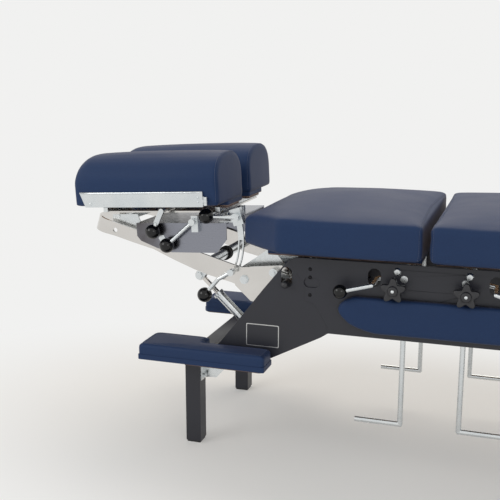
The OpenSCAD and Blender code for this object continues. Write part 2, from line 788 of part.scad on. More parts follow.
// Star knobs with their studs, which set the force at which a section drops
star_rim_share = 0.7;
star_boss_share = 0.18;
star_turn = 18;
module star_knob(i) {
    rim_t = star_t * star_rim_share;
    color(black_plastic) translate([section_star_x[i], -star_y, star_z]) {
        rod_y(star_d * hub_share, -rim_t, 0);
        for (k = [0 : star_lobes - 1]) rotate([0, 360 * k / star_lobes + star_turn, 0])
            translate([star_d * (1 - lobe_share) / 2, 0, 0])
            rod_y(star_d * lobe_share / 2, -rim_t, 0);
        rod_y(star_d * star_boss_share, -star_t, star_t / 4);
        rod_y(stud_r, 0, star_y - leg_plate_out + tension_d);
    }
}
module thoracic_star_knob() { star_knob(0); }
module lumbar_star_knob() { star_knob(1); }

// Head end of the frame: pivot plates, their bolts, and the channel between them
module pivot_plates() {
    color(chrome) pair() difference() {
        plate_xz(-pivot_plate_in - pivot_plate_t, pivot_plate_t)
            polygon(spread(pivot_plate_shares, pivot_plate_x, pivot_plate_z, pivot_plate_l,
                pivot_plate_h));
        translate([pivot_x, 0, pivot_z]) rod_y(pivot_r, -side_out, 0);
        translate([release_x, 0, release_z]) rod_y(release_r, -side_out, 0);
    }
}
module pivot_bolts() {
    color(zinc) {
        pair() translate([pivot_x, 0, pivot_z]) {
            rod_y(pivot_r, -pivot_plate_in - pivot_plate_t, -yoke_in + washer_t);
            rod_y(washer_r, -pivot_plate_in - pivot_plate_t - washer_t,
                -pivot_plate_in - pivot_plate_t);
            translate([0, -pivot_plate_in - pivot_plate_t - washer_t, 0]) hex_head(hex_r, hex_t);
        }
        translate([release_x, 0, release_z]) rod_y(release_r, -release_hub_y - hub_t - over,
            -pivot_plate_in);
        translate([strut_low_x, 0, strut_low_z])
            rod_y(strut_pin_r, strut_y - clevis_gap / 2 - clevis_t - over,
                strut_y + clevis_gap / 2 + clevis_t + over);
    }
}
module head_channel() {
    outline = spread(channel_shares, channel_x, channel_z, cross_x - channel_x, channel_h);
    color(zinc) {
        pair() plate_xz(-channel_half, channel_wall) polygon(outline);
        box(channel_x, cross_x, -channel_half, channel_half, channel_z, channel_z + channel_wall);
        box(cross_x - channel_wall, cross_x, -channel_half, channel_half,
            cross_z + channel_wall, channel_z + channel_h * channel_back_share);
        pair() translate([cross_x - barrel_l - channel_wall, -barrel_y,
            channel_z + channel_wall + barrel_r]) rotate([0, 90, 0])
            cylinder(r = barrel_r, h = barrel_l);
    }
}

// Lifting yoke: one band, bent round in front of the headpiece and sloping down from it
module yoke() {
    outline = spread(yoke_shares, yoke_x, yoke_z, yoke_l, yoke_h);
    color(chrome) difference() {
        intersection() {
            translate([yoke_x, 0, yoke_front_z]) rotate([0, yoke_slope, 0])
                translate([0, 0, -yoke_band_low]) linear_extrude(yoke_band_h) yoke_plan();
            union() {
                plate_xz(-yoke_out - over, yoke_w + 2 * over) polygon(outline);
                translate([pivot_x, 0, pivot_z])
                    rod_y(pivot_end_r, -yoke_out - over, yoke_out + over);
                translate([tilt_x, 0, tilt_z]) rod_y(ear_r, -yoke_out - over, yoke_out + over);
            }
        }
        translate([pivot_x, 0, pivot_z]) rod_y(pivot_r + fit, -side_out, side_out);
        translate([tilt_x, 0, tilt_z]) rod_y(pivot_r + fit, -side_out, side_out);
        translate([yoke_hole_x, 0, yoke_hole_z]) rod_y(yoke_hole_r, -side_out, side_out);
        translate([tilt_lock_x, 0, tilt_lock_z]) rod_y(lock_shaft_r + fit, -side_out, 0);
    }
}
module yoke_plan() {
    far = yoke_l / cos(yoke_slope) + pivot_end_r + yoke_corner_r;
    difference() {
        band_plan(0, far, yoke_out, yoke_corner_r);
        band_plan(yoke_t, far + yoke_corner_r, yoke_in, yoke_corner_r - yoke_t);
    }
}
module band_plan(x0, x1, half, r) {
    polygon(rounded([[x0, -half], [x1, -half], [x1, half], [x0, half]], r, yoke_steps));
}

// Spreader between the yoke's arms, with the clevis that the strut pushes on
module yoke_spreader() {
    color(zinc) {
        translate([spreader_x, 0, spreader_z]) rod_y(spreader_r, -yoke_in, yoke_in);
        for (s = [-1, 1]) translate([0, strut_y + s * (clevis_gap + clevis_t) / 2, 0])
            difference() {
                hull() {
                    translate([spreader_x, 0, spreader_z]) rod_y(eye_r, -clevis_t / 2, clevis_t / 2);
                    translate([strut_top_x, 0, strut_top_z]) rod_y(eye_r, -clevis_t / 2, clevis_t / 2);
                }
                translate([spreader_x, 0, spreader_z])
                    rod_y(spreader_r - over, -clevis_t, clevis_t);
            }
        translate([strut_top_x, strut_y, strut_top_z]) {
            rod_y(strut_pin_r, -clevis_gap / 2 - clevis_t - over, clevis_gap / 2 + clevis_t + over);
            translate([0, -clevis_gap / 2 - clevis_t, 0]) hex_head(clevis_hex_r, hex_t);
        }
    }
}
module spreader_bumper() {
    color(black_plastic) translate([spreader_x, 0, spreader_z]) difference() {
        rod_y(bumper_r, -bumper_t / 2, bumper_t / 2);
        rod_y(spreader_r, -bumper_t, bumper_t);
    }
}

// Telescoping strut: the tube swings on the frame, the rod slides in it
module along_strut() {
    translate([strut_low_x, strut_y, strut_low_z]) rotate([0, 90 - strut_angle, 0]) children();
}
module strut_tube() {
    color(chrome) along_strut() difference() {
        union() {
            rod_y(eye_r, -eye_t / 2, eye_t / 2);
            cylinder(r = strut_r, h = strut_tube_l);
            translate([0, 0, strut_tube_l - collar_t]) cylinder(r = collar_r, h = collar_t);
        }
        rod_y(strut_pin_r + fit, -eye_r - over, eye_r + over);
        translate([0, 0, eye_r + clevis_t]) cylinder(r = strut_rod_r + fit, h = strut_tube_l);
        for (s = [-1, 1]) translate([-strut_r - over, s > 0 ? eye_t / 2 : -strut_r - over,
            -eye_r - over]) cube([2 * strut_r + 2 * over, strut_r - eye_t / 2 + over,
            2 * eye_r + over + clevis_t]);
    }
}
module strut_rod() {
    color(chrome) along_strut() difference() {
        union() {
            translate([0, 0, strut_l - rod_in_l]) cylinder(r = strut_rod_r, h = rod_in_l - eye_r);
            translate([0, 0, strut_l]) rod_y(eye_r + clevis_t / 2, -eye_t / 2, eye_t / 2);
        }
        translate([0, 0, strut_l]) rod_y(strut_pin_r + eye_play, -eye_r - over, eye_r + over);
    }
}

// Tilt strap: a slotted arc about the tilt pivot, held in the carriage's clamp block
module strap_ring(w, t) {
    rotate([90, 0, 0]) translate([0, 0, -t / 2]) rotate_extrude($fn = 160)
        translate([strap_r - w / 2, 0]) square([w, t]);
}
module wedge(a0, a1, t) {
    plate_xz(-t, 2 * t) polygon([[0, 0], 2 * strap_r * [cos(a0), sin(a0)],
        2 * strap_r * [cos(a1), sin(a1)]]);
}
module tilt_strap() {
    color(zinc) translate([tilt_x, strap_y, tilt_z]) difference() {
        intersection() {
            strap_ring(strap_w, strap_t);
            wedge(strap_low_a, strap_top_a, strap_t);
        }
        intersection() {
            strap_ring(2 * (lock_bolt_r + seat), strap_t + 2 * over);
            wedge(strap_slot_a[0], strap_slot_a[1], strap_t + over);
        }
    }
}

// Headpiece carriage: a channel that straddles the yoke and turns on it
module tilt_carriage() {
    outline = spread(carriage_shares, carriage_u, carriage_w, carriage_l, carriage_h);
    inside = carriage_half - carriage_wall;
    color(chrome) on_head() difference() {
        union() {
            pair() plate_xz(-carriage_half, carriage_wall) {
                polygon(outline);
                translate([cock_u - cock_tab_half, carriage_top - carriage_wall])
                    square([2 * cock_tab_half, cock_w + cock_tab_up - carriage_top
                        + carriage_wall]);
            }
            box(carriage_u, carriage_u + carriage_l, -inside, inside,
                carriage_top - carriage_wall, carriage_top);
        }
        rod_y(pivot_r, -side_out, side_out);
        translate([cock_u, 0, cock_w]) rod_y(cock_r + fit, -side_out, side_out);
    }
}
// The block that holds the strap's upper end, on a foot at the rear of the carriage
module clamp_block() {
    block_u0 = carriage_u + carriage_l;
    color(zinc) difference() {
        union() {
            translate([tilt_x, strap_y, tilt_z]) rotate([0, -block_a, 0])
                box(strap_r - block_w / 2, strap_r + block_w / 2, -block_t / 2, block_t / 2,
                    -block_l / 2, block_l / 2);
            on_head() box(block_u0 - block_w, strap_r - strap_w, strap_y - block_t / 2,
                strap_y + block_t / 2, carriage_top, carriage_top + carriage_wall);
        }
        translate([tilt_x, strap_y, tilt_z]) strap_ring(strap_w + 2 * fit, strap_t + 2 * fit);
        translate([tilt_x, 0, tilt_z]) rotate([0, -block_a, 0])
            translate([strap_r, 0, 0]) rod_y(strap_lock_r + fit, -side_out, strap_y);
    }
}
module carriage_bolts() {
    color(zinc) on_head() {
        pair() {
            rod_y(pivot_r, -carriage_half - lever_gap, -yoke_in + washer_t);
            translate([0, -carriage_half, 0]) hex_head(tilt_hex_r, hex_t / 2);
            translate([drop_stop_u, -drop_stop_y, carriage_top])
                cylinder(r = drop_stop_r, h = drop_stop_h);
        }
        translate([drop_u, 0, drop_w]) rod_y(drop_pin_r, -bracket_half - over, bracket_half + over);
    }
}
module drop_bracket() {
    outline = spread(bracket_shares, bracket_u, bracket_low, bracket_l, bracket_h);
    color(zinc) on_head() difference() {
        union() {
            pair() plate_xz(-bracket_half, bracket_t) polygon(outline);
            box(bracket_u, bracket_u + bracket_t, -bracket_half, bracket_half,
                bracket_low + bracket_h * bracket_front_shares[0],
                bracket_low + bracket_h * bracket_front_shares[1]);
        }
        translate([drop_u, 0, drop_w]) rod_y(drop_pin_r, -side_out, side_out);
        box(carriage_u - over, 0, -bracket_half - over, bracket_half + over,
            carriage_top - carriage_wall, carriage_top);
    }
}

// Head drop: the plate swings on its pin, and its rails carry the two halves
module drop_plate() {
    color(zinc) on_head() {
        box(drop_plate_u, drop_plate_u + drop_plate_l, -drop_plate_half, drop_plate_half,
            drop_plate_w, drop_plate_w + drop_plate_t);
        pair() difference() {
            box(drop_u - 2 * drop_pin_r, drop_u + 2 * drop_pin_r, -drop_lug_y - bracket_t,
                -drop_lug_y, drop_w - 2 * drop_pin_r, drop_plate_w);
            translate([drop_u, 0, drop_w]) rod_y(drop_pin_r + fit, -side_out, 0);
        }
        pair() difference() {
            box(width_u - width_ear_half, width_u + width_ear_half, -width_ear_y - lever_ear_t,
                -width_ear_y, drop_plate_w + drop_plate_t, drop_plate_w + drop_plate_t + rail_s);
            translate([width_u, 0, width_w]) rod_y(width_r + fit, -side_out, 0);
        }
    }
}
module cross_rails() {
    color(zinc) on_head() for (u = rail_u) {
        box(u, u + rail_s, -rail_half, rail_half, drop_plate_w + drop_plate_t,
            drop_plate_w + drop_plate_t + rail_s);
    }
}
module head_board() {
    y0 = face_gap / 2 + head_board_in;
    color(plywood) on_head() {
        box(head_u + head_board_in, head_u + head_l - head_board_in, y0, head_board_half,
            head_board_w, head_cushion_w);
        for (u = rail_u, e = [-guide_w - seat, rail_s + seat])
            box(u + e, u + e + guide_w, y0 + guide_w, head_board_half - guide_w,
                head_board_w - rail_s / 2, head_board_w);
    }
}
module head_board_near() { mirror([0, 1, 0]) head_board(); }
module head_board_far() { head_board(); }

// Cross-section of a head cushion: straight sides under an arch
arch_steps = 12;
arch_share = 0.52;
arch_side_shares = [[0.97, 0], [1, 0.07], [0.985, 0.26]];
arch_wide_power = 0.72;
arch_high_power = 0.85;
function arch(w, h) = let (right = [for (s = arch_side_shares) [w / 2 * s[0], h * s[1]]])
    concat(right, [for (k = [0 : arch_steps]) let (a = 180 * k / arch_steps)
        [w / 2 * sign(cos(a)) * pow(abs(cos(a)), arch_wide_power),
            h * (1 - arch_share + arch_share * pow(sin(a), arch_high_power))]],
        [for (i = [len(right) - 1 : -1 : 0]) [-right[i].x, right[i].y]]);
// Rings of a head cushion, as [place along it, inset of its sides, loss of height]
head_front_steps = 6;
head_rear_steps = 3;
function head_rings() = concat(
    [for (k = [0 : head_front_steps]) let (a = 90 * k / head_front_steps,
        d = head_end_r * (1 - sin(a)))
        [head_u + head_end_r * (1 - cos(a)), min(d, 3 * head_edge_r) / 2, d]],
    [[head_u + head_l / 2, 0, 0]],
    [for (k = [0 : head_rear_steps]) let (a = 90 * k / head_rear_steps,
        d = head_edge_r * (1 - cos(a)))
        [head_u + head_l - head_edge_r * (1 - sin(a)), d, d]]);
module head_cushion() {
    rings = [for (s = head_rings()) [for (p = arch(head_half_w - 2 * s[1],
        head_cushion_h - s[2])) [s[0], -p.x, p.y]]];
    color(navy) on_head() translate([0, (head_w + face_gap) / 4, head_cushion_w])
        loft(rings, mid(rings[0]), mid(rings[len(rings) - 1]));
}
module head_cushion_far() { head_cushion(); }
module head_cushion_near() { mirror([0, 1, 0]) head_cushion(); }

// Levers of the headpiece, all with ball knobs
module lever_ball(at, way) {
    translate(at) difference() {
        rotate([0, 0, 90]) sphere(ball_d / 2);
        ball_socket(way, ball_d);
    }
}
width_ball = [width_ball_u, -lever_plane, width_ball_w];
width_root = [width_u, -lever_plane, width_w];
module width_lock_lever() {
    flat_end = toward(width_root, width_ball, ball_d * flat_end_share);
    color(zinc) on_head() {
        translate([width_u, 0, width_w])
            rod_y(width_r, -lever_plane, width_ear_y + 2 * lever_ear_t);
        hull() for (q = [width_root, flat_end]) translate(q)
            rod_y(flat_w / 2, -flat_t / 2, flat_t / 2);
        rod(flat_end, toward(width_root, width_ball, ball_d / 4 + seat), lever_d / 2);
    }
}
module width_lock_ball() {
    color(black_plastic) on_head() lever_ball(width_ball, width_root - width_ball);
}
cock_ball = [cock_ball_u, -lever_plane, cock_ball_w];
cock_root = [cock_u, -lever_plane, cock_w];
module drop_cock_lever() {
    color(zinc) on_head() {
        translate([cock_u, 0, cock_w]) {
            rod_y(cock_r, -lever_plane, carriage_half + washer_t);
            pair() translate([cock_cam_off, -cock_cam_y, 0])
                rod_y(cock_cam_r, -cam_t / 2, cam_t / 2);
            translate([0, -carriage_half - fitting_t - seat, 0])
                box(-fitting_w * fitting_shares[0], fitting_w * (1 - fitting_shares[0]), 0,
                    fitting_t, -fitting_h * fitting_shares[1],
                    fitting_h * (1 - fitting_shares[1]));
        }
        rod(cock_root, toward(cock_root, cock_ball, ball_d / 4 + seat), lever_d / 2);
        translate([cock_u, 0, cock_w]) rod_y(cock_hub_r, -lever_plane - lever_hub_t / 2,
            -lever_plane + lever_hub_t / 2);
    }
}
module drop_cock_ball() {
    color(black_plastic) on_head() lever_ball(cock_ball, cock_root - cock_ball);
}
strap_bolt_u = strap_r * cos(block_a - head_slope);
strap_bolt_w = strap_r * sin(block_a - head_slope);
strap_lock_y = strap_y - block_t / 2 - lever_d;
strap_ball = [strap_ball_u, -lever_plane, strap_ball_w];
strap_root = [strap_bolt_u, strap_lock_y, strap_bolt_w];
module strap_lock_lever() {
    color(zinc) on_head() {
        translate([strap_bolt_u, 0, strap_bolt_w]) {
            rod_y(strap_lock_r, strap_lock_y, strap_y - strap_t / 2 - 2 * seat);
            rod_y(strap_lock_hub_r, strap_lock_y - lever_d / 2, strap_y - block_t / 2 - seat);
        }
        rod(strap_root, toward(strap_root, strap_ball, ball_d / 4 + seat), lever_d / 2);
    }
}
module strap_lock_ball() {
    color(black_plastic) on_head() lever_ball(strap_ball, strap_root - strap_ball);
}
lock_ball = [lock_ball_x, -lock_y, lock_ball_z];
lock_bend = [lock_bend_x, -lock_y, lock_bend_z];
lock_root = [tilt_lock_x, -lock_y, tilt_lock_z];
module tilt_lock_lever() {
    outer = strap_y - strap_t / 2 - seat;
    inner = strap_y + strap_t / 2 + seat;
    color(zinc) {
        translate([tilt_lock_x, 0, tilt_lock_z]) {
            rod_y(lock_shaft_r, -lock_y, outer);
            rod_y(lock_bolt_r, -lock_y, inner + lock_nut_t / 2);
            rod_y(lock_nut_r, inner, inner + lock_nut_t);
            rod_y(lock_hub_r, -lock_y - lever_hub_t / 2, -lock_y + lever_hub_t / 2);
        }
        bent_rod([lock_root, lock_bend, toward(lock_bend, lock_ball, ball_d / 4 + seat)], lever_d / 2);
    }
}
module tilt_lock_ball() {
    color(black_plastic) lever_ball(lock_ball, lock_bend - lock_ball);
}

// Release lever: its grip stands in the slot of the near leg plate
module release_lever() {
    bar_y = -release_hub_y - hub_t / 2;
    color(zinc) difference() {
        union() {
            translate([release_x, 0, release_z])
                rod_y(hub_r, -release_hub_y - hub_t, -release_hub_y - seat);
            hull() for (q = [[release_x, bar_y, release_z], [release_slot_x, bar_y,
                release_z - release_fall]])
                translate(q) rod_y(release_r, -flat_t / 2, flat_t / 2);
            translate([release_slot_x, 0, release_z - release_fall])
                rod_y(release_r, -leg_out + grip_r, bar_y);
        }
        translate([release_x, 0, release_z]) rod_y(release_r + fit, -side_out, 0);
    }
}
module release_grip() {
    color(black_plastic) translate([release_slot_x, 0, release_z - release_fall]) {
        rod_y(grip_r, -leg_out + grip_r - grip_l, -leg_out + grip_r);
        translate([0, -leg_out + grip_r - grip_l, 0]) sphere(grip_r);
    }
}

// Face-paper clamp: a folded bar that swings on a hinge at its foot-side end
clamp_base_y = -head_w / 2 - seat - clamp_wall;
clamp_bar_y = clamp_base_y - seat - clamp_wall;
clamp_pin_y = clamp_base_y - seat - knuckle_r;
module clamp_hinge() {
    low = clamp_w + clamp_base_up;
    color(zinc) on_head() {
        box(clamp_pin_u - clamp_base_l, clamp_pin_u, clamp_base_y, clamp_base_y + clamp_wall,
            low, low + clamp_base_h);
        translate([clamp_pin_u, clamp_pin_y, low]) {
            cylinder(r = knuckle_pin_r, h = clamp_base_h);
            for (z = [0, clamp_base_h - knuckle_h]) translate([0, 0, z]) {
                cylinder(r = knuckle_r, h = knuckle_h);
                translate([-knuckle_r, 0, 0])
                    cube([knuckle_r, clamp_base_y - clamp_pin_y + clamp_wall / 2, knuckle_h]);
            }
        }
    }
}
module paper_clamp() {
    tongue_low = clamp_w + clamp_base_up + (clamp_base_h - clamp_tongue_h) / 2;
    color(zinc) on_head() {
        difference() {
            union() {
                plate_xz(clamp_bar_y, clamp_wall) polygon([[clamp_u, clamp_w + clamp_h],
                    [clamp_u + clamp_slant, clamp_w], [clamp_end_u, clamp_w],
                    [clamp_end_u, clamp_w + clamp_h]]);
                box(clamp_u + clamp_wall, clamp_end_u, clamp_bar_y, clamp_bar_y + clamp_lip,
                    clamp_w + clamp_h - clamp_wall, clamp_w + clamp_h);
                box(clamp_u + clamp_slant, clamp_end_u, clamp_bar_y, clamp_bar_y + clamp_lip,
                    clamp_w, clamp_w + clamp_wall);
                box(clamp_end_u - clamp_lip, clamp_pin_u, clamp_bar_y - clamp_wall,
                    clamp_bar_y + clamp_wall, tongue_low, tongue_low + clamp_tongue_h);
                translate([clamp_pin_u, clamp_pin_y, tongue_low])
                    cylinder(r = knuckle_r, h = clamp_tongue_h);
            }
            translate([clamp_pin_u, clamp_pin_y, clamp_w])
                cylinder(r = knuckle_pin_r + fit, h = clamp_h);
        }
        translate([clamp_u + 2 * clamp_slant, 0, clamp_w + 2 * rivet_r])
            rod_y(rivet_r, clamp_bar_y - clamp_wall / 2, clamp_bar_y);
    }
}

side_plate_near();
side_plate_far();
leg_plate_near();
leg_plate_far();
head_legs();
foot_legs();
cross_tubes();
leg_glides();
side_pads();
pivot_plates();
pivot_bolts();
head_channel();
hinge_shafts();
drop_stops();
plate_screws();
tension_blocks();
foot_cushion();
foot_board();
armrest_pads();
armrest_boards();
armrest_brackets();
thoracic_cushion();
thoracic_board();
lumbar_cushion();
lumbar_board();
thoracic_cock_shaft();
thoracic_ball();
lumbar_cock_shaft();
lumbar_ball();
thoracic_star_knob();
lumbar_star_knob();
release_lever();
release_grip();
yoke();
yoke_spreader();
spreader_bumper();
tilt_lock_lever();
tilt_lock_ball();
strut_tube();
strut_rod();
tilt_carriage();
clamp_block();
tilt_strap();
carriage_bolts();
drop_bracket();
strap_lock_lever();
strap_lock_ball();
drop_cock_lever();
drop_cock_ball();
drop_plate();
cross_rails();
width_lock_lever();
width_lock_ball();
head_board_near();
head_board_far();
head_cushion_near();
head_cushion_far();
clamp_hinge();
paper_clamp();
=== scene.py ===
# %% [markdown]
# A chiropractic adjusting table: three padded body sections on a black steel frame, and a
# headpiece that lifts, tilts and drops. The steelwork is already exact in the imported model,
# so it stays as it is and only gets its finishes. The upholstery is soft, so each pad is
# made here again: a numpy surface a little smaller than the pad's solid, puffed up by a
# short cloth simulation, then sewn with ridges and stitches.

# %% Load the frame
import math

import bpy
import numpy as np
from mathutils import Matrix, Vector
from mathutils.bvhtree import BVHTree


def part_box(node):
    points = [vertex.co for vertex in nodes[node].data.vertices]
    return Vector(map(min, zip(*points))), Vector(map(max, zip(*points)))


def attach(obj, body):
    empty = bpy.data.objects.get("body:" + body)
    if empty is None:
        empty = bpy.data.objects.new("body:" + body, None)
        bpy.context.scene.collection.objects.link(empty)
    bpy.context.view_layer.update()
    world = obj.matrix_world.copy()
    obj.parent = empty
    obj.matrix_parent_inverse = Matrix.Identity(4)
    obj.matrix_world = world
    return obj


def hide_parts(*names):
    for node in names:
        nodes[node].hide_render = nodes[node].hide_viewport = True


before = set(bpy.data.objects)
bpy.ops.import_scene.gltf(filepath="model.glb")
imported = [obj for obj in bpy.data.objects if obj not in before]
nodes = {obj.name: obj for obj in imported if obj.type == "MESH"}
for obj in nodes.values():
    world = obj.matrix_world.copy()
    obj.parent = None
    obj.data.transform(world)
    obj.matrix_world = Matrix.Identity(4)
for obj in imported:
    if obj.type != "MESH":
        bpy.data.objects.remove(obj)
scene = bpy.context.scene
mm = 0.001
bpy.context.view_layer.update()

# %% [markdown]
# The camera stands low on the near side, beside the headpiece, as the photographer did.
# It is made first, so that every later choice can be judged through it.

# %% Camera
CAMERA_PLACE = (0.185, -1.9525, 0.883)
CAMERA_TURN = (78.16, 0, 18.38)
camera = bpy.data.objects.new("camera", bpy.data.cameras.new("camera"))
scene.collection.objects.link(camera)
camera.location = CAMERA_PLACE
camera.rotation_euler = [math.radians(a) for a in CAMERA_TURN]
camera.data.sensor_width = 36
camera.data.lens = 58.97
scene.camera = camera
scene.view_settings.view_transform = "Standard"
print("camera at", CAMERA_PLACE)

# %% [markdown]
# Four small helpers: one turns a written colour into the linear values that light works in,
# one sets several settings at once, one adds a shader node with its links, and one clears a
# tree for new nodes.

# %% Helpers

def linear(written):
    """sRGB hex to linear: channel c is c / 12.92 when dark, else ((c + 0.055) / 1.055) ^ 2.4."""
    c = np.array([int(written[i:i + 2], 16) for i in (1, 3, 5)]) / 255
    return (*np.where(c < 0.04045, c / 12.92, ((c + 0.055) / 1.055) ** 2.4), 1.0)


def put(thing, **settings):
    """Sets several settings of a thing at once."""
    for name, value in settings.items():
        setattr(thing, name, value)
    return thing


def add(tree, kind, sockets=None, **settings):
    """Adds one node. A socket gets a number, a written colour, the output that feeds it, or a
    node, which feeds it with its first output."""
    made = put(tree.nodes.new("ShaderNode" + kind), **settings)
    for name, value in (sockets or {}).items():
        if isinstance(value, bpy.types.Node):
            value = value.outputs[0]
        if isinstance(value, bpy.types.NodeSocket):
            tree.links.new(value, made.inputs[name])
        else:
            made.inputs[name].default_value = linear(value) if isinstance(value, str) else value
    return made


def fresh_tree(owner):
    """The empty node tree of a material or a world."""
    owner.use_nodes = True
    owner.node_tree.nodes.clear()
    return owner.node_tree


print("mid grey", linear("#808080"))

# %% [markdown]
# Every finish starts the same way, with a shader that holds what is the same all over. Real
# surfaces vary, so patterns in the object's own metres then change the colour, the shine and
# the relief from place to place.

# %% Start and vary a finish
FACTOR, A, B, MIXED = 0, 6, 7, 2
NOISE_SPAN = (0.3, 0.7)
FULL_SPAN = (0, 1)


def start_finish(name, **fixed):
    """A material with one shader. fixed holds the values that are the same all over."""
    finish = bpy.data.materials.new(name)
    tree = fresh_tree(finish)
    shader = add(tree, "BsdfPrincipled", {k.replace("_", " "): v for k, v in fixed.items()})
    add(tree, "OutputMaterial", {0: shader})
    print("finish", name, fixed)
    return finish, tree, shader, add(tree, "TexCoord").outputs["Object"]


def vary(shader, tone, colours, wear, shine, span=NOISE_SPAN, relief=()):
    """Lays patterns over a finish. tone, from 0 to 1, runs between two colours. wear, over its
    span, runs between two roughnesses. Each height in relief, from 0 to 1, raises the surface
    by a depth in metres at a share of its strength, on top of the one before."""
    tree = shader.id_data
    colour = add(tree, "Mix", {FACTOR: tone, A: colours[0], B: colours[1]}, data_type="RGBA")
    tree.links.new(colour.outputs[MIXED], shader.inputs["Base Color"])
    rough = add(tree, "MapRange", {"Value": wear, "From Min": span[0], "From Max": span[1],
        "To Min": shine[0], "To Max": shine[1]})
    tree.links.new(rough.outputs[0], shader.inputs["Roughness"])
    under = {}
    for height, depth, share in relief:
        bump = add(tree, "Bump", {
            "Height": height, "Distance": depth, "Strength": share, **under})
        under = {"Normal": bump}
        tree.links.new(bump.outputs[0], shader.inputs["Normal"])


# %% [markdown]
# The pads are covered in upholstery vinyl: a soft PVC skin pressed between rollers with a
# leather grain. Its pits scatter light, so the tops turn grey where they mirror the room at a
# low angle, and the sides stay navy. Real grain is about 1 mm across, finer than a pixel
# here, so it is drawn at 2.6 mm, over broad, faint hollows in the foam. A weak, warm sheen
# stands for the dry powder that greys the tops.

# %% Vinyl
grain_cell = 2.6 * mm
foam_patch = 55 * mm
handled_patch = 150 * mm
vinyl, tree, shader, place = start_finish(
    "embossed_navy_vinyl", IOR=1.45, Specular_IOR_Level=0.3, Sheen_Weight=0.07,
    Sheen_Roughness=0.5, Sheen_Tint="#ffdca8")
pores = add(tree, "TexVoronoi", {"Vector": place, "Scale": 1 / grain_cell},
            feature="DISTANCE_TO_EDGE").outputs["Distance"]
hills = add(tree, "MapRange", {"Value": pores, "From Max": 0.35})
handled = add(tree, "TexNoise", {"Vector": place, "Scale": 1 / handled_patch, "Detail": 3})
tint = add(tree, "Math", {0: hills, 1: handled}, operation="MULTIPLY")
foam = add(tree, "TexNoise", {"Vector": place, "Scale": 1 / foam_patch, "Detail": 1})
vary(shader, tint, ("#1b3257", "#24406b"), handled, (0.52, 0.62),
     relief=[(foam, 1.6 * mm, 0.5), (hills, 0.12 * mm, 0.5)])

# %% [markdown]
# The sewing thread is bonded nylon in the vinyl's navy. Its twist is too fine to show, so a
# soft sheen and a slightly lighter blue stand for it.

# %% Thread
twist_patch = 1.5 * mm
thread, tree, shader, place = start_finish("bonded_nylon_thread", IOR=1.53, Sheen_Weight=0.3)
twist = add(tree, "TexNoise", {"Vector": place, "Scale": 1 / twist_patch})
vary(shader, twist, ("#2b3957", "#3f5178"), twist, (0.5, 0.7), FULL_SPAN)

# %% [markdown]
# The frame is coated with satin black powder paint, baked until it flows. It keeps a faint
# orange peel with bumps about 2 mm apart, and it has an even, low shine that turns a shade
# duller where shoes and hands have rubbed it.

# %% Powder paint
peel_size = 2.2 * mm
rubbed_patch = 120 * mm
paint, tree, shader, place = start_finish("satin_powder_paint", IOR=1.5)
rubbed = add(tree, "TexNoise", {
    "Vector": place, "Scale": 1 / rubbed_patch, "Detail": 4, "Roughness": 0.6})
peel = add(tree, "TexNoise", {"Vector": place, "Scale": 1 / peel_size, "Detail": 1})
vary(shader, rubbed, ("#202128", "#2b2c35"), rubbed, (0.34, 0.5),
     relief=[(peel, 0.06 * mm, 0.35)])

# %% [markdown]
# The lifting yoke and the head end's plates are polished steel. Polishing wheels leave hair
# lines along the plate, so the reflection is clear but drawn out a little. The lines are
# drawn 1.4 mm apart and 60 mm long.

# %% Polished steel
hair_gap = 1.4 * mm
hair_length = 60 * mm
cloud_patch = 90 * mm
steel, tree, shader, place = start_finish("wheel_polished_steel", Metallic=1.0)
along = add(tree, "Mapping", {"Vector": place, "Scale": (hair_gap / hair_length, 1, 1)})
hairs = add(tree, "TexNoise", {"Vector": along, "Scale": 1 / hair_gap, "Roughness": 0.7})
cloud = add(tree, "TexNoise", {"Vector": place, "Scale": 1 / cloud_patch})
vary(shader, cloud, ("#cdcac6", "#dfdcd8"), hairs, (0.10, 0.22),
     relief=[(hairs, 0.02 * mm, 0.3)])

# %% [markdown]
# The tilt carriage under the headpiece is bent from a darker sheet of brushed stainless. Its
# colour holds a painted reflection of the room, brownish at its front end and blue-grey
# behind, with soft stain clouds over it. The change follows the object's length, so it is
# drawn from the X coordinate.

# %% Stainless with a painted reflection
# Where along X, and at what shares, the painted reflection turns from brownish to blue-grey
PAINTED_REFLECTION_X = (-0.69, -0.56)
PAINTED_REFLECTION_SHARE = (-0.2, 0.8)
stain_patch = 45 * mm
scratch_gap = 1.6 * mm
scratch_length = scratch_gap / 0.03
stainless, tree, shader, place = start_finish("stainless_painted_reflection", Metallic=1.0)
along = add(tree, "SeparateXYZ", {0: place}).outputs["X"]
stain = add(tree, "TexNoise", {"Vector": place, "Scale": 1 / stain_patch})
# Painted reflection: a ramp along X from the brownish front to the blue-grey rear, plus random
# stain clouds
painted_reflection_ramp = add(tree, "MapRange", {"Value": along, "From Min": PAINTED_REFLECTION_X[0],
    "From Max": PAINTED_REFLECTION_X[1], "To Min": PAINTED_REFLECTION_SHARE[0], "To Max": PAINTED_REFLECTION_SHARE[1]})
stain_and_painted_reflection = add(tree, "Math", {0: painted_reflection_ramp, 1: stain}, operation="ADD", use_clamp=True)
brush = add(tree, "Mapping", {"Vector": place, "Scale": (scratch_gap / scratch_length, 1, 1)})
scratches = add(tree, "TexNoise", {"Vector": brush, "Scale": 1 / scratch_gap, "Roughness": 0.7})
vary(shader, stain_and_painted_reflection, ("#4f4947", "#8d8f98"), scratches, (0.16, 0.3),
     relief=[(scratches, 0.02 * mm, 0.3)])

# %% [markdown]
# Brackets, rods, bolts and the paper clamp are zinc plated: a thin bright coat with a cold
# blue cast. Its crystals and the passivating bath leave soft clouds, one to four centimetres
# wide, in both colour and shine.

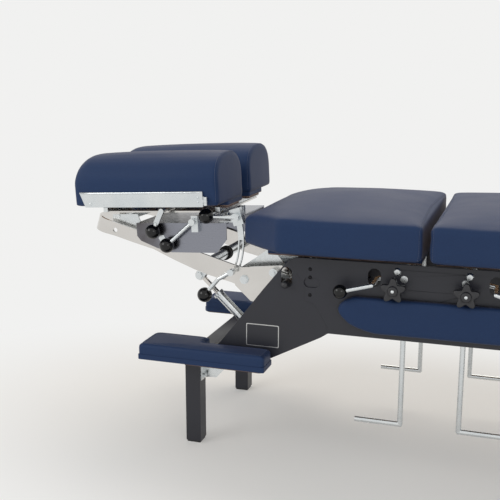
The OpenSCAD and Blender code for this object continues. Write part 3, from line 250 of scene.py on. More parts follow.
# %% Zinc plate
crystal_patch = 12 * mm
bath_patch = 40 * mm
zinc, tree, shader, place = start_finish("bright_zinc_plate", Metallic=1.0)
bath = add(tree, "TexNoise", {"Vector": place, "Scale": 1 / bath_patch, "Detail": 3})
crystals = add(tree, "TexNoise", {"Vector": place, "Scale": 1 / crystal_patch, "Detail": 1})
vary(shader, bath, ("#ccd2d6", "#e4e6e5"), crystals, (0.22, 0.32),
     relief=[(crystals, 0.02 * mm, 0.06)])

# %% [markdown]
# The ball and star knobs are phenolic resin, pressed in polished dies. It is a deep black
# with a mirror-like skin on the balls. The star knobs come from a tumbled die and are
# duller, with a fine pebble.

# %% Phenolic resin
flow_patch = 14 * mm
pebble_size = 1.8 * mm
phenolic, tree, shader, place = start_finish(
    "polished_phenolic", IOR=1.5, Specular_IOR_Level=0.4)
flow = add(tree, "TexNoise", {"Vector": place, "Scale": 1 / flow_patch, "Detail": 3})
vary(shader, flow, ("#070708", "#101011"), flow, (0.06, 0.14))
pebble_resin, tree, shader, place = start_finish("pebbled_phenolic", IOR=1.6)
pebble = add(tree, "TexNoise", {"Vector": place, "Scale": 1 / pebble_size})
vary(shader, pebble, ("#141418", "#212127"), pebble, (0.38, 0.55),
     relief=[(pebble, 0.1 * mm, 0.4)])

# %% [markdown]
# The screws of the side plates are black-oxide steel: a thin, oily, blue-black skin that
# stays darker than the paint round it.

# %% Black oxide
oil_patch = 4 * mm
black_oxide, tree, shader, place = start_finish("black_oxide_steel", Metallic=0.6)
oil = add(tree, "TexNoise", {"Vector": place, "Scale": 1 / oil_patch, "Detail": 3})
vary(shader, oil, ("#0e0e11", "#1d1d21"), oil, (0.4, 0.55))

# %% [markdown]
# Feet and bumpers are moulded black rubber, filled with carbon and matt all over. A dusty
# bloom lightens it in patches.

# %% Rubber
bloom_patch = 9 * mm
rubber, tree, shader, place = start_finish("moulded_rubber", IOR=1.52)
bloom = add(tree, "TexNoise", {
    "Vector": place, "Scale": 1 / bloom_patch, "Detail": 4, "Roughness": 0.7})
vary(shader, bloom, ("#121212", "#242322"), bloom, (0.6, 0.85),
     relief=[(bloom, 0.1 * mm, 0.3)])

# %% [markdown]
# The pads stand on birch plywood. Its faces show long, wavy grain, and its edges show the
# plies, about 1.5 mm each, light and dark in turn, under a dark brown stain. The face grain
# and the plies are two patterns, and the direction that the surface faces picks between them.
# The hinge lugs under the section boards are dipped in black sealer, so their height picks
# them out.

# %% Plywood
ply_thick = 1.5 * mm
grain_width = 5 * mm
grain_length = 130 * mm
LUG_MIDDLE, LUG_HALF = 0.443, 0.043
FLAT_ENOUGH = 0.7
plywood, tree, shader, place = start_finish("sanded_birch_plywood", IOR=1.46)
stretch = add(tree, "Mapping", {"Vector": place, "Scale": (grain_width / grain_length, 1, 1)})
figure = add(tree, "TexNoise", {
    "Vector": stretch, "Scale": 1 / grain_width, "Detail": 4, "Roughness": 0.6})
height = add(tree, "SeparateXYZ", {0: place}).outputs["Z"]
turns = add(tree, "Math", {0: height, 1: math.pi / ply_thick}, operation="MULTIPLY")
plies = add(tree, "Math", {0: turns}, operation="SINE")
light_ply = add(tree, "MapRange", {"Value": plies, "From Min": -1})
facing = add(tree, "SeparateXYZ", {0: add(tree, "NewGeometry").outputs["Normal"]}).outputs["Z"]
flat = add(tree, "Math", {0: facing}, operation="ABSOLUTE")
upward = add(tree, "Math", {0: flat, 1: FLAT_ENOUGH}, operation="GREATER_THAN")
lug = add(tree, "Math", {0: height, 1: LUG_MIDDLE, 2: LUG_HALF}, operation="COMPARE")
is_face = add(tree, "Math", {0: upward, 1: lug}, operation="SUBTRACT", use_clamp=True)
sides = add(tree, "Mix", {FACTOR: light_ply, A: "#5a463e", B: "#a0867a"}, data_type="RGBA")
edge = add(tree, "Mix", {FACTOR: lug, A: sides.outputs[MIXED], B: "#2a2420"}, data_type="RGBA")
face = add(tree, "Mix", {FACTOR: figure, A: "#8f6c4d", B: "#b08c66"}, data_type="RGBA")
vary(shader, is_face, (edge.outputs[MIXED], face.outputs[MIXED]), figure, (0.5, 0.68),
     FULL_SPAN, relief=[(figure, 0.1 * mm, 0.3)])

# %% [markdown]
# Each carried-over part gets the finish of its real counterpart. The square tubes come from
# the mill with rounded corners, and sheared plates lose their sharp edge in the paint, so
# those parts get a small live bevel. Their own meshes stay as they are.

# %% Finish the steelwork
finishes = {
    paint: "side_plate_near side_plate_far leg_plate_near leg_plate_far head_legs foot_legs "
           "cross_tubes",
    black_oxide: "plate_screws",
    steel: "yoke pivot_plates drop_plate strut_rod",
    stainless: "tilt_carriage",
    zinc: "pivot_bolts head_channel hinge_shafts drop_stops tension_blocks armrest_brackets "
          "thoracic_cock_shaft lumbar_cock_shaft release_lever yoke_spreader tilt_lock_lever "
          "strut_tube clamp_block tilt_strap carriage_bolts drop_bracket strap_lock_lever "
          "drop_cock_lever cross_rails width_lock_lever clamp_hinge paper_clamp",
    phenolic: "thoracic_ball lumbar_ball tilt_lock_ball strap_lock_ball drop_cock_ball "
              "width_lock_ball",
    pebble_resin: "thoracic_star_knob lumbar_star_knob release_grip",
    rubber: "leg_glides spreader_bumper",
    plywood: "foot_board armrest_boards thoracic_board lumbar_board head_board_near "
             "head_board_far",
}
for finish, names in finishes.items():
    for name in names.split():
        nodes[name].data.materials.clear()
        nodes[name].data.materials.append(finish)

# Edge radius in mm, on edges sharper than an angle in degrees
SHARP_ANGLE = 40
rounded_edges = {
    "head_legs": 2.6, "foot_legs": 2.6, "side_plate_near": 0.6, "side_plate_far": 0.6,
    "leg_plate_near": 0.6, "leg_plate_far": 0.6, "foot_board": 1.2, "cross_rails": 1.0}
for name, radius in rounded_edges.items():
    put(nodes[name].modifiers.new("Weld", "WELD"), merge_threshold=0.01 * mm)
    put(nodes[name].modifiers.new("Bevel", "BEVEL"), width=radius * mm, segments=3,
        limit_method="ANGLE", angle_limit=math.radians(SHARP_ANGLE), use_clamp_overlap=False,
        harden_normals=True)
print("finished parts", sum(len(n.split()) for n in finishes.values()))

# %% [markdown]
# Soft pieces start as rings of points round an outline. This cell turns the corners of a
# flat shape into an outline with rounded corners, and gives the side of a pad its bulge and
# its rounded top edge.

# %% Outline and side of a pad
ARC_POINTS = 6
FILL_STEP = 14


def outline_of(corners, radius):
    """The outline of a flat shape, corners in mm, anticlockwise. Returns points and normals.
    A corner's point is its circle's centre plus radius times the direction, which turns from
    one side's normal to the next's. Straight runs are filled at a fixed step."""
    corner = np.array(corners, float)
    ahead = np.roll(corner, -1, 0) - corner
    ahead /= np.linalg.norm(ahead, axis=1)[:, None]
    after = np.stack([ahead[:, 1], -ahead[:, 0]], 1)
    before = np.roll(after, 1, 0)
    share = 1 + (before * after).sum(1)
    centre = corner - (before + after) * (radius / share)[:, None]
    turn = np.arccos(np.clip(share - 1, -1, 1))
    start = np.arctan2(before[:, 1], before[:, 0])
    angle = start[:, None] + turn[:, None] * np.linspace(0, 1, ARC_POINTS)
    normal = np.stack([np.cos(angle), np.sin(angle)], 2)
    point = centre[:, None] + radius * normal
    runs = []
    for i in range(len(corner)):
        a, b = point[i, -1], point[(i + 1) % len(corner), 0]
        n = max(1, int(np.linalg.norm(b - a) / FILL_STEP))
        t = np.linspace(0, 1, n + 1)[1:-1, None]
        straight = a + (b - a) * t
        runs += [np.hstack([point[i], normal[i]]),
                 np.hstack([straight, np.repeat(after[i][None], len(straight), 0)])]
    line = np.vstack(runs)
    return line[:, :2], line[:, 2:]


# The side's inset from its widest line, as shares of the edge round, at shares of its height
SIDE_INSET = np.array([0.64, 0.24, 0.06, 0, 0.04, 0])
SIDE_HEIGHT = np.array([0, 0.06, 0.20, 0.50, 0.78, 1])


def pad_side(height, edge):
    """Insets and heights of the rings, from the underside up a bulged side and over a
    quarter round of radius edge, all in mm."""
    a = np.linspace(0, math.pi / 2, 6)[1:]
    inset = np.concatenate([SIDE_INSET * edge, edge * (1 - np.cos(a))])
    level = np.concatenate([SIDE_HEIGHT * (height - edge), height - edge + edge * np.sin(a)])
    return inset, level


# %% [markdown]
# The rings are joined into a closed mesh, either with a point at each end, as on a pad, or
# with the last ring joined to the first, as on a hoop.

# %% From rings to a mesh

def new_piece(name, points, faces):
    """Puts points, in mm, and their faces into a mesh, and the mesh into the scene."""
    mesh = bpy.data.meshes.new(name)
    mesh.from_pydata((points * mm).tolist(), [], faces)
    made = bpy.data.objects.new(name, mesh)
    scene.collection.objects.link(made)
    print(name, len(points), "points")
    return made


def ring_quads(gaps, m, n):
    """The quads in the first gaps between m rings of n points. The last gap leads back to the
    first ring."""
    k, i = np.meshgrid(np.arange(gaps), np.arange(n), indexing="ij")
    up, j = (k + 1) % m, (i + 1) % n
    return np.stack([k * n + i, k * n + j, up * n + j, up * n + i], 2).reshape(-1, 4)


def join_rings(name, rings, low, high, flip=False):
    """A closed mesh from an array of rings (rings, points, 3) and its two end points, mm."""
    m, n, _ = rings.shape
    ring = np.arange(n)
    after = (ring + 1) % n
    base = np.stack([np.full(n, m * n), after, ring], 1)
    top = np.stack([np.full(n, m * n + 1), (m - 1) * n + ring, (m - 1) * n + after], 1)
    faces = ring_quads(m - 1, m, n).tolist() + base.tolist() + top.tolist()
    if flip:
        faces = [f[::-1] for f in faces]
    return new_piece(name, np.vstack([rings.reshape(-1, 3), [low], [high]]), faces)


def join_loop(name, rings):
    """A closed ring-shaped mesh: rings (section points, outline points, 3) in mm, closed in
    both directions."""
    m, n, _ = rings.shape
    return new_piece(name, rings.reshape(-1, 3), ring_quads(m, m, n).tolist())


def lifted(flat, level):
    """Flat rings, each with its own level as the third coordinate."""
    return np.concatenate([flat, np.broadcast_to(level[:, None, None], (*flat.shape[:2], 1))], 2)


def drawn_in(ring, middle, count):
    """Rings from a wall's last ring to its middle: middle + (ring - middle) * share."""
    shares = np.linspace(1, 0, count)[1:-1]
    return shares, middle + (ring[None] - middle) * shares[:, None, None]


# %% [markdown]
# The three body cushions are slabs of foam 81 mm thick at the edge, with a crown of 19 mm.
# The crown rises with the distance from every edge, as foam does under a stretched cover.
# The section at the head end is clipped at its front corners and falls towards the front.

# %% Body cushions
CUSHION_LOW = 506
EDGE_HEIGHT = 81
CROWN = 19
EDGE_ROUND = 13
PLAN_ROUND = 14
HALF_WIDTH = 279
CROWN_REACH = 110
THORACIC_FALL = 16.0
SLACK = 1.6
THORACIC = (-420.0, 4.0)
LUMBAR = (12.0, 412.0)
FOOT = (420.0, 848.0)
FRONT_HALF = HALF_WIDTH * 0.68
CLIP_END = THORACIC[0] + 0.25 * (THORACIC[1] - THORACIC[0])
FOOT_CLIP = 0.16 * (FOOT[1] - FOOT[0])
FOOT_HALF = HALF_WIDTH * 0.84


def crown_share(spot, corners):
    """One minus a decaying exponential of the distance to each side, all multiplied."""
    corner = np.array(corners, float)
    ahead = np.roll(corner, -1, 0) - corner
    out = np.stack([ahead[:, 1], -ahead[:, 0]], 1) / np.linalg.norm(ahead, axis=1)[:, None]
    far = ((corner[None] - spot[..., None, :]) * out).sum(-1)
    return np.prod(1 - np.exp(-np.maximum(far, 0) / CROWN_REACH), axis=-1)


def front_sink(x, fall):
    """How far the top falls towards the front: a parabola from the clip's end, in mm."""
    back = np.clip((CLIP_END - x) / (CLIP_END - THORACIC[0]), 0, 1)
    return fall * back ** 2


def body_cushion(name, corners, fall=0.0):
    """Side rings at a growing inset, then rings drawn in to the middle under the crown."""
    spot, normal = outline_of(corners, PLAN_ROUND)
    inset, level = pad_side(EDGE_HEIGHT, EDGE_ROUND)
    wall = spot[None] - normal[None] * (inset + SLACK)[:, None, None]
    drop = level[:, None] / EDGE_HEIGHT * front_sink(wall[..., 0], fall)
    rings = np.concatenate([wall, (CUSHION_LOW + level[:, None] - drop)[..., None]], 2)
    xs = [c[0] for c in corners]
    middle = np.array([(min(xs) + max(xs)) / 2, 0.0])
    _, flat = drawn_in(wall[-1], middle, 14)
    peak = crown_share(middle[None], corners)[0]
    rise = (CROWN - SLACK) * crown_share(flat, corners) / peak
    top = CUSHION_LOW + EDGE_HEIGHT - front_sink(flat[..., 0], fall) + rise
    rings = np.concatenate([rings, np.concatenate([flat, top[..., None]], 2)])
    high = CUSHION_LOW + EDGE_HEIGHT + CROWN - SLACK - front_sink(middle[:1], fall)[0]
    return join_rings(name, rings, [*middle, CUSHION_LOW], [*middle, high])


def both_halves(near):
    """A plan from its near half: the same corners again with Y turned round."""
    return near + [(x, -y) for x, y in near[::-1]]


thoracic_plan = both_halves([
    (THORACIC[0], -FRONT_HALF), (CLIP_END, -HALF_WIDTH), (THORACIC[1], -HALF_WIDTH)])
lumbar_plan = both_halves([(x, -HALF_WIDTH) for x in LUMBAR])
foot_plan = both_halves([
    (FOOT[0], -HALF_WIDTH), (FOOT[1] - FOOT_CLIP, -HALF_WIDTH), (FOOT[1], -FOOT_HALF)])
thoracic = body_cushion("thoracic_upholstery", thoracic_plan, THORACIC_FALL)
lumbar = body_cushion("lumbar_upholstery", lumbar_plan)
foot = body_cushion("foot_upholstery", foot_plan)

# %% [markdown]
# A head cushion is a loaf: straight sides under an arch, rounded down at the front end and
# closed by a flat, sewn panel at the rear. It is made in the headpiece's own directions and
# turned to its slope at the end.

# %% Head cushions
SIDES = (("near", -1), ("far", 1))
HEAD_SLOPE = math.radians(3)
TILT_PIVOT = (-640.0, 500.0)
HEAD_U = (-199.5, 173.5)
HEAD_LOW = 86.3
HEAD_HEIGHT = 122.0
HEAD_WIDTH = 186.0
HEAD_MIDDLE = 117.0
FRONT_ROUND = 36.0
FRONT_TAPER = 0.05
REAR_ROUND = 9.0
ARCH_SHARE = 0.52
HEAD_SLACK = 1.2
to_model = (Matrix.Translation((TILT_PIVOT[0] * mm, 0, TILT_PIVOT[1] * mm))
            @ Matrix.Rotation(-HEAD_SLOPE, 4, "Y"))


def arch(width, height):
    """Points (y, w) of the cross-section: two straight sides and a flattened half ellipse,
    y = half width * cos^0.72, w = height * (0.48 + 0.52 * sin^0.85)."""
    side = np.array([(0.97, 0), (1, 0.07), (0.985, 0.26)]) * (width / 2, height)
    a = np.linspace(0, math.pi, 33)
    y = width / 2 * np.sign(np.cos(a)) * np.abs(np.cos(a)) ** 0.72
    w = height * (1 - ARCH_SHARE + ARCH_SHARE * np.sin(a) ** 0.85)
    left = side[::-1] * (-1, 1)
    return np.vstack([side, np.stack([y, w], 1), left])


def from_head(spots):
    """Spots given in the headpiece's own directions, turned to its slope, in mm."""
    return np.array([(to_model @ Vector(np.array(p) * mm)) / mm for p in spots])


def head_cushion(name, way):
    """Sections carried along the headpiece, drawn in over a quarter round at each end."""
    a = np.linspace(0, math.pi / 2, 9)
    fall = FRONT_ROUND * (1 - np.sin(a))
    front = np.stack([HEAD_U[0] + FRONT_ROUND * (1 - np.cos(a)),
                      fall * FRONT_TAPER, fall], 1)
    c = np.linspace(0, math.pi / 2, 5)
    tuck = REAR_ROUND * (1 - np.cos(c))
    rear = np.stack([HEAD_U[1] - REAR_ROUND * (1 - np.sin(c)), tuck, tuck], 1)
    u = np.linspace(front[-1, 0], rear[0, 0], 20)[1:-1]
    steps = np.vstack([front, np.stack([u, u * 0, u * 0], 1), rear])
    rings = []
    for place_u, pull, low in steps:
        cut = arch(HEAD_WIDTH - 2 * HEAD_SLACK - 2 * pull, HEAD_HEIGHT - HEAD_SLACK - low)
        rings.append(np.insert(cut + (way * HEAD_MIDDLE, HEAD_LOW), 0, place_u, axis=1))
    rings = np.array(rings)
    rings[..., 0] = np.clip(rings[..., 0], HEAD_U[0] + HEAD_SLACK, HEAD_U[1] - HEAD_SLACK)
    return join_rings(name, rings, rings[0].mean(0), rings[-1].mean(0))


heads = [head_cushion(f"head_upholstery_{side}", way) for side, way in SIDES]

# %% [markdown]
# The armrests are firm pads with a notch that clears the leg plate. Each has a sewn top
# panel. The knee pads on the side plates are long and thin, with rounded ends.

# %% Armrest and knee pads
ARM_X = (-657.0, -341.0)
ARM_Y = (163.0, 270.0)
ARM_NOTCH = (-510.0, 206.0)
ARM_Z = (232.0, 265.0)
ARM_MIDDLE = (-520, 234)
ARM_CHAMFER = 8
ARM_STEP = 0.5
ARM_CORNER = 3.0
ARM_ROUND = 7.0
ARM_CROWN = 2.0
ARM_SLACK = 1.0
KNEE_X = (-187.0, 573.0)
KNEE_Z = (327.0, 413.0)
KNEE_FACE = 208.0
KNEE_THICK = 20.0
KNEE_ROUND = 8.0
KNEE_SLACK = 1.2
KNEE_CORNER = 2.0
# One end's outline, as shares of the length and height, mirrored for the other end
KNEE_FRONT = [(0.05, 1), (0.03, 0.93), (0.013, 0.82), (0.004, 0.72), (0, 0.63), (0.004, 0.5),
              (0.015, 0.38), (0.035, 0.22), (0.06, 0.12), (0.1, 0.02), (0.12, 0)]
KNEE_SHARES = KNEE_FRONT + [(1 - x, z) for x, z in KNEE_FRONT[::-1]]


def flat_pad(name, corners, radius, height, edge, crown, slack, middle):
    """A thin pad on an outline: side rings, then rings drawn in to a middle point."""
    spot, normal = outline_of(corners, radius)
    inset, level = pad_side(height - slack, edge)
    wall = spot[None] - normal[None] * (inset + slack)[:, None, None]
    middle = np.array(middle, float)
    shares, flat = drawn_in(wall[-1], middle, 8)
    rise = height - slack + crown * (1 - shares ** 2)
    rings = np.concatenate([lifted(wall, level), lifted(flat, rise)])
    return join_rings(name, rings, [*middle, 0], [*middle, height - slack + crown])


def arm_corners(way):
    """The armrest's outline, for the near (-1) or the far (1) side, anticlockwise."""
    notch_x, notch_y = ARM_NOTCH
    far = [(ARM_X[1], ARM_Y[1]), (ARM_X[0], ARM_Y[1]), (ARM_X[0], ARM_Y[0] + ARM_CHAMFER),
           (ARM_X[0] + ARM_CHAMFER, ARM_Y[0]), (notch_x, ARM_Y[0]),
           (notch_x + ARM_STEP, notch_y), (ARM_X[1], notch_y)]
    return far if way > 0 else [(x, -y) for x, y in far[::-1]]


arms, knees = [], []
for side, way in SIDES:
    pad = flat_pad(
        f"armrest_upholstery_{side}", arm_corners(way), ARM_CORNER, ARM_Z[1] - ARM_Z[0],
        ARM_ROUND, ARM_CROWN, ARM_SLACK, (ARM_MIDDLE[0], way * ARM_MIDDLE[1]))
    pad.data.transform(Matrix.Translation((0, 0, ARM_Z[0] * mm)))
    arms.append(pad)
    wide, high = KNEE_X[1] - KNEE_X[0], KNEE_Z[1] - KNEE_Z[0]
    corners = [(KNEE_X[0] + x * wide, z * high) for x, z in KNEE_SHARES]
    pad = flat_pad(
        f"knee_upholstery_{side}", corners, KNEE_CORNER, KNEE_THICK, KNEE_ROUND, 0.0,
        KNEE_SLACK, (sum(KNEE_X) / 2, high / 2))
    turn = Matrix.Rotation(math.pi / 2, 4, "X")
    pad.data.transform(Matrix.Translation((0, -KNEE_FACE * mm, KNEE_Z[0] * mm)) @ turn)
    if way > 0:
        pad.data.transform(Matrix.Scale(-1, 4, (0, 1, 0)))
        pad.data.flip_normals()
    knees.append(pad)

# %% [markdown]
# Foam pushes its cover out until the cover pulls back. A cloth simulation copies that, but it
# needs even cells and something to hold on to: each pad is remeshed, and the points near its
# board are pinned there, as staples would hold them.

# %% Make the pads ready
PINNED = 2.5 * mm


def even_mesh(pad, cell):
    """The pad's mesh made again from cubes of one size, as the simulation needs."""
    put(pad.modifiers.new("Remesh", "REMESH"), mode="VOXEL", voxel_size=cell)
    remade = pad.evaluated_get(bpy.context.evaluated_depsgraph_get())
    mesh = bpy.data.meshes.new_from_object(remade)
    pad.modifiers.clear()
    pad.data = mesh


def points_of(mesh):
    """The mesh's points as an array, in metres."""
    co = np.empty(len(mesh.vertices) * 3)
    mesh.vertices.foreach_get("co", co)
    return co.reshape(-1, 3)


def pin_base(pad, axis, level):
    """A vertex group that holds the points near the plane where the pad is stapled."""
    away = np.abs(points_of(pad.data)[:, axis] - level)
    held = pad.vertex_groups.new(name="stapled")
    held.add(np.flatnonzero(away < PINNED).tolist(), 1.0, "REPLACE")


# %% [markdown]
# Air pressure swells the pads for twenty frames. A smooth cap, cap * tanh(move / cap), keeps
# every point near where it began, an average over neighbours takes out the wrinkles, and a
# last clamp keeps each pad in its own room.

# %% Puff up the pads
FRAMES = 20
CALM_TIMES = 40
CLOTH = dict(quality=4, mass=0.3, tension_stiffness=25, compression_stiffness=25,
             shear_stiffness=10, bending_stiffness=2, use_pressure=True,
             uniform_pressure_force=4.0, vertex_group_mass="stapled")


def calmed(moved, mesh, times):
    """Each point's move becomes the mean of its own and its neighbours' moves, over and
    over, so the swell stays and the wrinkles go."""
    ends = np.empty(len(mesh.edges) * 2, int)
    mesh.edges.foreach_get("vertices", ends)
    a, b = ends.reshape(-1, 2).T
    n = len(moved)
    beside = np.bincount(ends, minlength=n)[:, None]
    for _ in range(times):
        total = np.stack([np.bincount(a, moved[b, k], n) + np.bincount(b, moved[a, k], n)
                          for k in range(3)], 1)
        moved = (moved + total / beside) / 2
    return moved


def puff(pads):
    """Runs the cloth simulation on all the pads at once, then caps how far points moved."""
    rest = {}
    for pad, _, _ in pads:
        rest[pad.name] = points_of(pad.data)
        cloth = pad.modifiers.new("Cloth", "CLOTH")
        put(cloth.settings, **CLOTH)
        cloth.settings.effector_weights.gravity = 0
        put(cloth.point_cache, frame_start=1, frame_end=FRAMES)
    for f in range(1, FRAMES + 1):
        scene.frame_set(f)
    graph = bpy.context.evaluated_depsgraph_get()
    for pad, cap, room in pads:
        moved = points_of(pad.evaluated_get(graph).data) - rest[pad.name]
        length = np.linalg.norm(moved, axis=1)[:, None] + 1e-12
        moved = calmed(moved / length * cap * np.tanh(length / cap), pad.data, CALM_TIMES)
        kept = np.clip(rest[pad.name] + moved, *room)
        pad.modifiers.clear()
        pad.data.vertices.foreach_set("co", kept.ravel())
        pad.data.update()
        print(pad.name, "moved up to", round(float(length.max()) / mm, 1), "mm before the cap")
    scene.frame_set(1)


# %% [markdown]
# Thick pads get bigger cells and may swell more. Each pad's room is the box that its solid
# fills, a hair smaller where it meets a neighbour, and a little higher over its crown.

# %% Puff each pad in its own room
# Cell and cap in mm
BODY_PUFF, HEAD_PUFF, ARM_PUFF, KNEE_PUFF = (7, 3), (6, 4), (4.5, 1.5), (5, 2)
CLEAR = 0.6
soft = []


def make_ready(pad, puff_by, axis, level, x, y, z):
    """Remeshes and pins a pad, and lists it with its cap and its room, all in mm."""
    cell, cap = puff_by
    even_mesh(pad, cell * mm)
    pin_base(pad, axis, level * mm)
    soft.append((pad, cap * mm, np.array([x, y, z]).T * mm))


for pad, ends in ((thoracic, THORACIC), (lumbar, LUMBAR), (foot, FOOT)):
    make_ready(pad, BODY_PUFF, 2, CUSHION_LOW, (ends[0] + CLEAR, ends[1] - CLEAR),
               (-HALF_WIDTH - 1, HALF_WIDTH + 1),
               (CUSHION_LOW, CUSHION_LOW + EDGE_HEIGHT + CROWN + 3))
for pad, (_, way) in zip(heads, SIDES):
    inner, outer = HEAD_MIDDLE - HEAD_WIDTH / 2, HEAD_MIDDLE + HEAD_WIDTH / 2
    make_ready(pad, HEAD_PUFF, 2, HEAD_LOW, (HEAD_U[0], HEAD_U[1] - CLEAR),
               sorted((way * (inner + CLEAR / 2), way * outer)),
               (HEAD_LOW, HEAD_LOW + HEAD_HEIGHT + 2))
for pad, (_, way) in zip(arms, SIDES):
    make_ready(pad, ARM_PUFF, 2, ARM_Z[0], ARM_X, sorted((way * ARM_Y[0], way * ARM_Y[1])),
               (ARM_Z[0], ARM_Z[1] + ARM_CROWN + 1))
for pad, (_, way) in zip(knees, SIDES):
    make_ready(pad, KNEE_PUFF, 1, way * KNEE_FACE, KNEE_X,
               sorted((way * KNEE_FACE, way * (KNEE_FACE + KNEE_THICK))), KNEE_Z)
puff(soft)

# %% [markdown]
# One level of subdivision smooths what the cells left. The head cushions then turn to the
# headpiece's slope. Each pad takes the place of its plain solid and rides on its body.

# %% Dress the pads

def dress(made, finish, body, smooth=True):
    """Gives a piece its finish and the body that it moves with, and smooths it when asked."""
    if smooth:
        made.data.shade_smooth()
    made.data.materials.append(finish)
    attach(made, body)


for pad in heads:
    pad.data.transform(to_model)
# Pad, body, the solid that it stands for, and how full of foam it is
rides = [(thoracic, "thoracic", "thoracic_cushion", 0.85),
         (lumbar, "lumbar", "lumbar_cushion", 0.85), (foot, "table", "foot_cushion", 0.85),
         (heads[0], "head_near", "head_cushion_near", 0.8),
         (heads[1], "head_far", "head_cushion_far", 0.8)]
rides += [(pad, "table", "armrest_pads", 0.9) for pad in arms]
rides += [(pad, "table", "side_pads", 0.9) for pad in knees]
for pad, body, solid, fill in rides:
    pad.data.materials.clear()
    smooth = pad.modifiers.new("Subdivision", "SUBSURF")
    smooth.levels = smooth.render_levels = 1
    dress(pad, vinyl, body)
    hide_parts(solid)
print("pads", len(rides))

# %% [markdown]
# Where two panels of vinyl meet, the turned-in edges stand up as a low ridge, and a row of
# stitches runs beside it. A seam starts as a rough path near the pad, and each of its points
# moves to the nearest point of the cover.

# %% Lines on a pad

def even_path(path, step):
    """The path again, with points a fixed step apart along its length, in mm."""
    path = np.array(path, float)
    length = np.concatenate([[0], np.cumsum(np.linalg.norm(np.diff(path, axis=0), axis=1))])
    at = np.arange(0, length[-1], step)
    return np.stack([np.interp(at, length, path[:, k]) for k in range(3)], 1)


def laid_on(pad, path):
    """Each point of the path moved to the nearest point of the pad, with its normal."""
    tree = BVHTree.FromObject(pad, bpy.context.evaluated_depsgraph_get())
    found = [tree.find_nearest(Vector(p) * mm) for p in path]
    spot = np.array([f[0] for f in found]) / mm
    return spot, np.array([f[1] for f in found])


def unit(v):
    """v at length 1."""
    return v / (np.linalg.norm(v, axis=-1, keepdims=True) + 1e-12)


def circle(n):
    """n angles at even steps round a circle."""
    return np.linspace(0, 2 * math.pi, n, endpoint=False)


def smooth_line(line, times):
    """Each inner point becomes the mean of itself and its neighbours, several times over."""
    for _ in range(times):
        line[1:-1] = (line[:-2] + line[1:-1] * 2 + line[2:]) / 4
    return line


# %% [markdown]
# A ridge is one tube along the whole seam. A stitch is a short, thicker-waisted tube that dips
# into the cover at both ends, and all of a seam's stitches are one mesh.

# %% Ridges and stitches
RIDGE = 1.1
SEAM_STEP = 3.0
SEAM_CALM = 14
STITCH_LENGTH = 3.4
STITCH_PITCH = 5.0
STITCH_THICK = 0.55
STITCH_AWAY = 3.2


def tube(spot, normal, wide, high):
    """A closed flat tube carried along a line: an ellipse across it at each point."""
    ahead = unit(np.gradient(spot, axis=0))
    across = unit(np.cross(ahead, normal))
    a = circle(8)
    grow = np.ones(len(spot))
    grow[[0, -1]] = 0.3
    ring = (across[:, None] * np.cos(a)[:, None] * wide
            + normal[:, None] * np.sin(a)[:, None] * high) * grow[:, None, None]
    return spot[:, None] + ring


def stitch_row(name, row, up):
    """Stitches at the points of a row: each is a circle carried along a bowed line that
    follows the row, thin at both ends. up holds the cover's normals."""
    ahead = unit(np.gradient(row, axis=0))
    across = unit(np.cross(ahead, up))
    t = np.array([-1, -0.7, 0, 0.7, 1]) * STITCH_LENGTH / 2
    bow = np.array([-0.4, 0.3, 0.6, 0.3, -0.4]) * STITCH_THICK
    thin = np.array([0.2, 1, 1, 1, 0.2]) * STITCH_THICK
    a = circle(6)
    ring = (row[:, None, None] + ahead[:, None, None] * t[:, None, None]
            + up[:, None, None] * (bow[:, None] + np.sin(a) * thin[:, None])[..., None]
            + across[:, None, None] * (np.cos(a) * thin[:, None])[..., None])
    count, rings, n = ring.shape[:3]
    start = np.arange(count)[:, None] * rings * n
    quads = (start[..., None] + ring_quads(rings - 1, rings, n)[:, [0, 3, 2, 1]]).reshape(-1, 4)
    caps = np.vstack([start + np.arange(n), start + (rings - 1) * n + np.arange(n)[::-1]])
    return new_piece(name, ring.reshape(-1, 3), quads.tolist() + caps.tolist())


def shape_seam(name, pad, path, body, inward):
    """The ridge along a path and its row of stitches, on the side that inward points to."""
    spot, normal = laid_on(pad, even_path(path, SEAM_STEP))
    spot, normal = smooth_line(spot, SEAM_CALM), unit(smooth_line(normal, SEAM_CALM))
    ridge = join_rings(name + "_ridge", tube(spot, normal, RIDGE, RIDGE), spot[0], spot[-1],
                       flip=True)
    ahead = unit(np.gradient(spot, axis=0))
    beside = unit(np.cross(normal, ahead))
    beside *= np.sign((beside * np.array(inward, float)).sum(1, keepdims=True) + 1e-9)
    row, up = laid_on(pad, even_path(spot + beside * STITCH_AWAY, STITCH_PITCH))
    stitches = stitch_row(name + "_stitches", row, up)
    for made, finish in ((ridge, vinyl), (stitches, thread)):
        dress(made, finish, body)
    return len(row)


# %% [markdown]
# The body cushions are sewn across their ends, the head cushions round their rear panel, and
# the armrests round their top panel. The paths only need to pass near the cover.

# %% Sew the pads
HEAD_SEAM_IN = 3
ARM_SEAM_IN = 6


def end_seam(end, way):
    """Up one corner of a body cushion, across the top edge and down the other corner. way
    points inwards along X from the cushion's end."""
    x, inner = end + 5 * way, end + 8 * way
    low, top = CUSHION_LOW + 6, CUSHION_LOW + EDGE_HEIGHT - 3
    half = HALF_WIDTH - 5
    near = [(x, -half, low), (x, -half, top - 8), (x, -half + 10, top + 3)]
    return near + [(inner, 0, top + CROWN)] + [(x, -y, z) for x, y, z in near[::-1]]


def head_seam(way):
    """Round the arch of a head cushion, just inside its rear end."""
    cut = arch(HEAD_WIDTH - 8, HEAD_HEIGHT - 4)[1:-1]
    cut = cut + (way * HEAD_MIDDLE, HEAD_LOW)
    return from_head(np.insert(cut, 0, HEAD_U[1] - HEAD_SEAM_IN, axis=1))


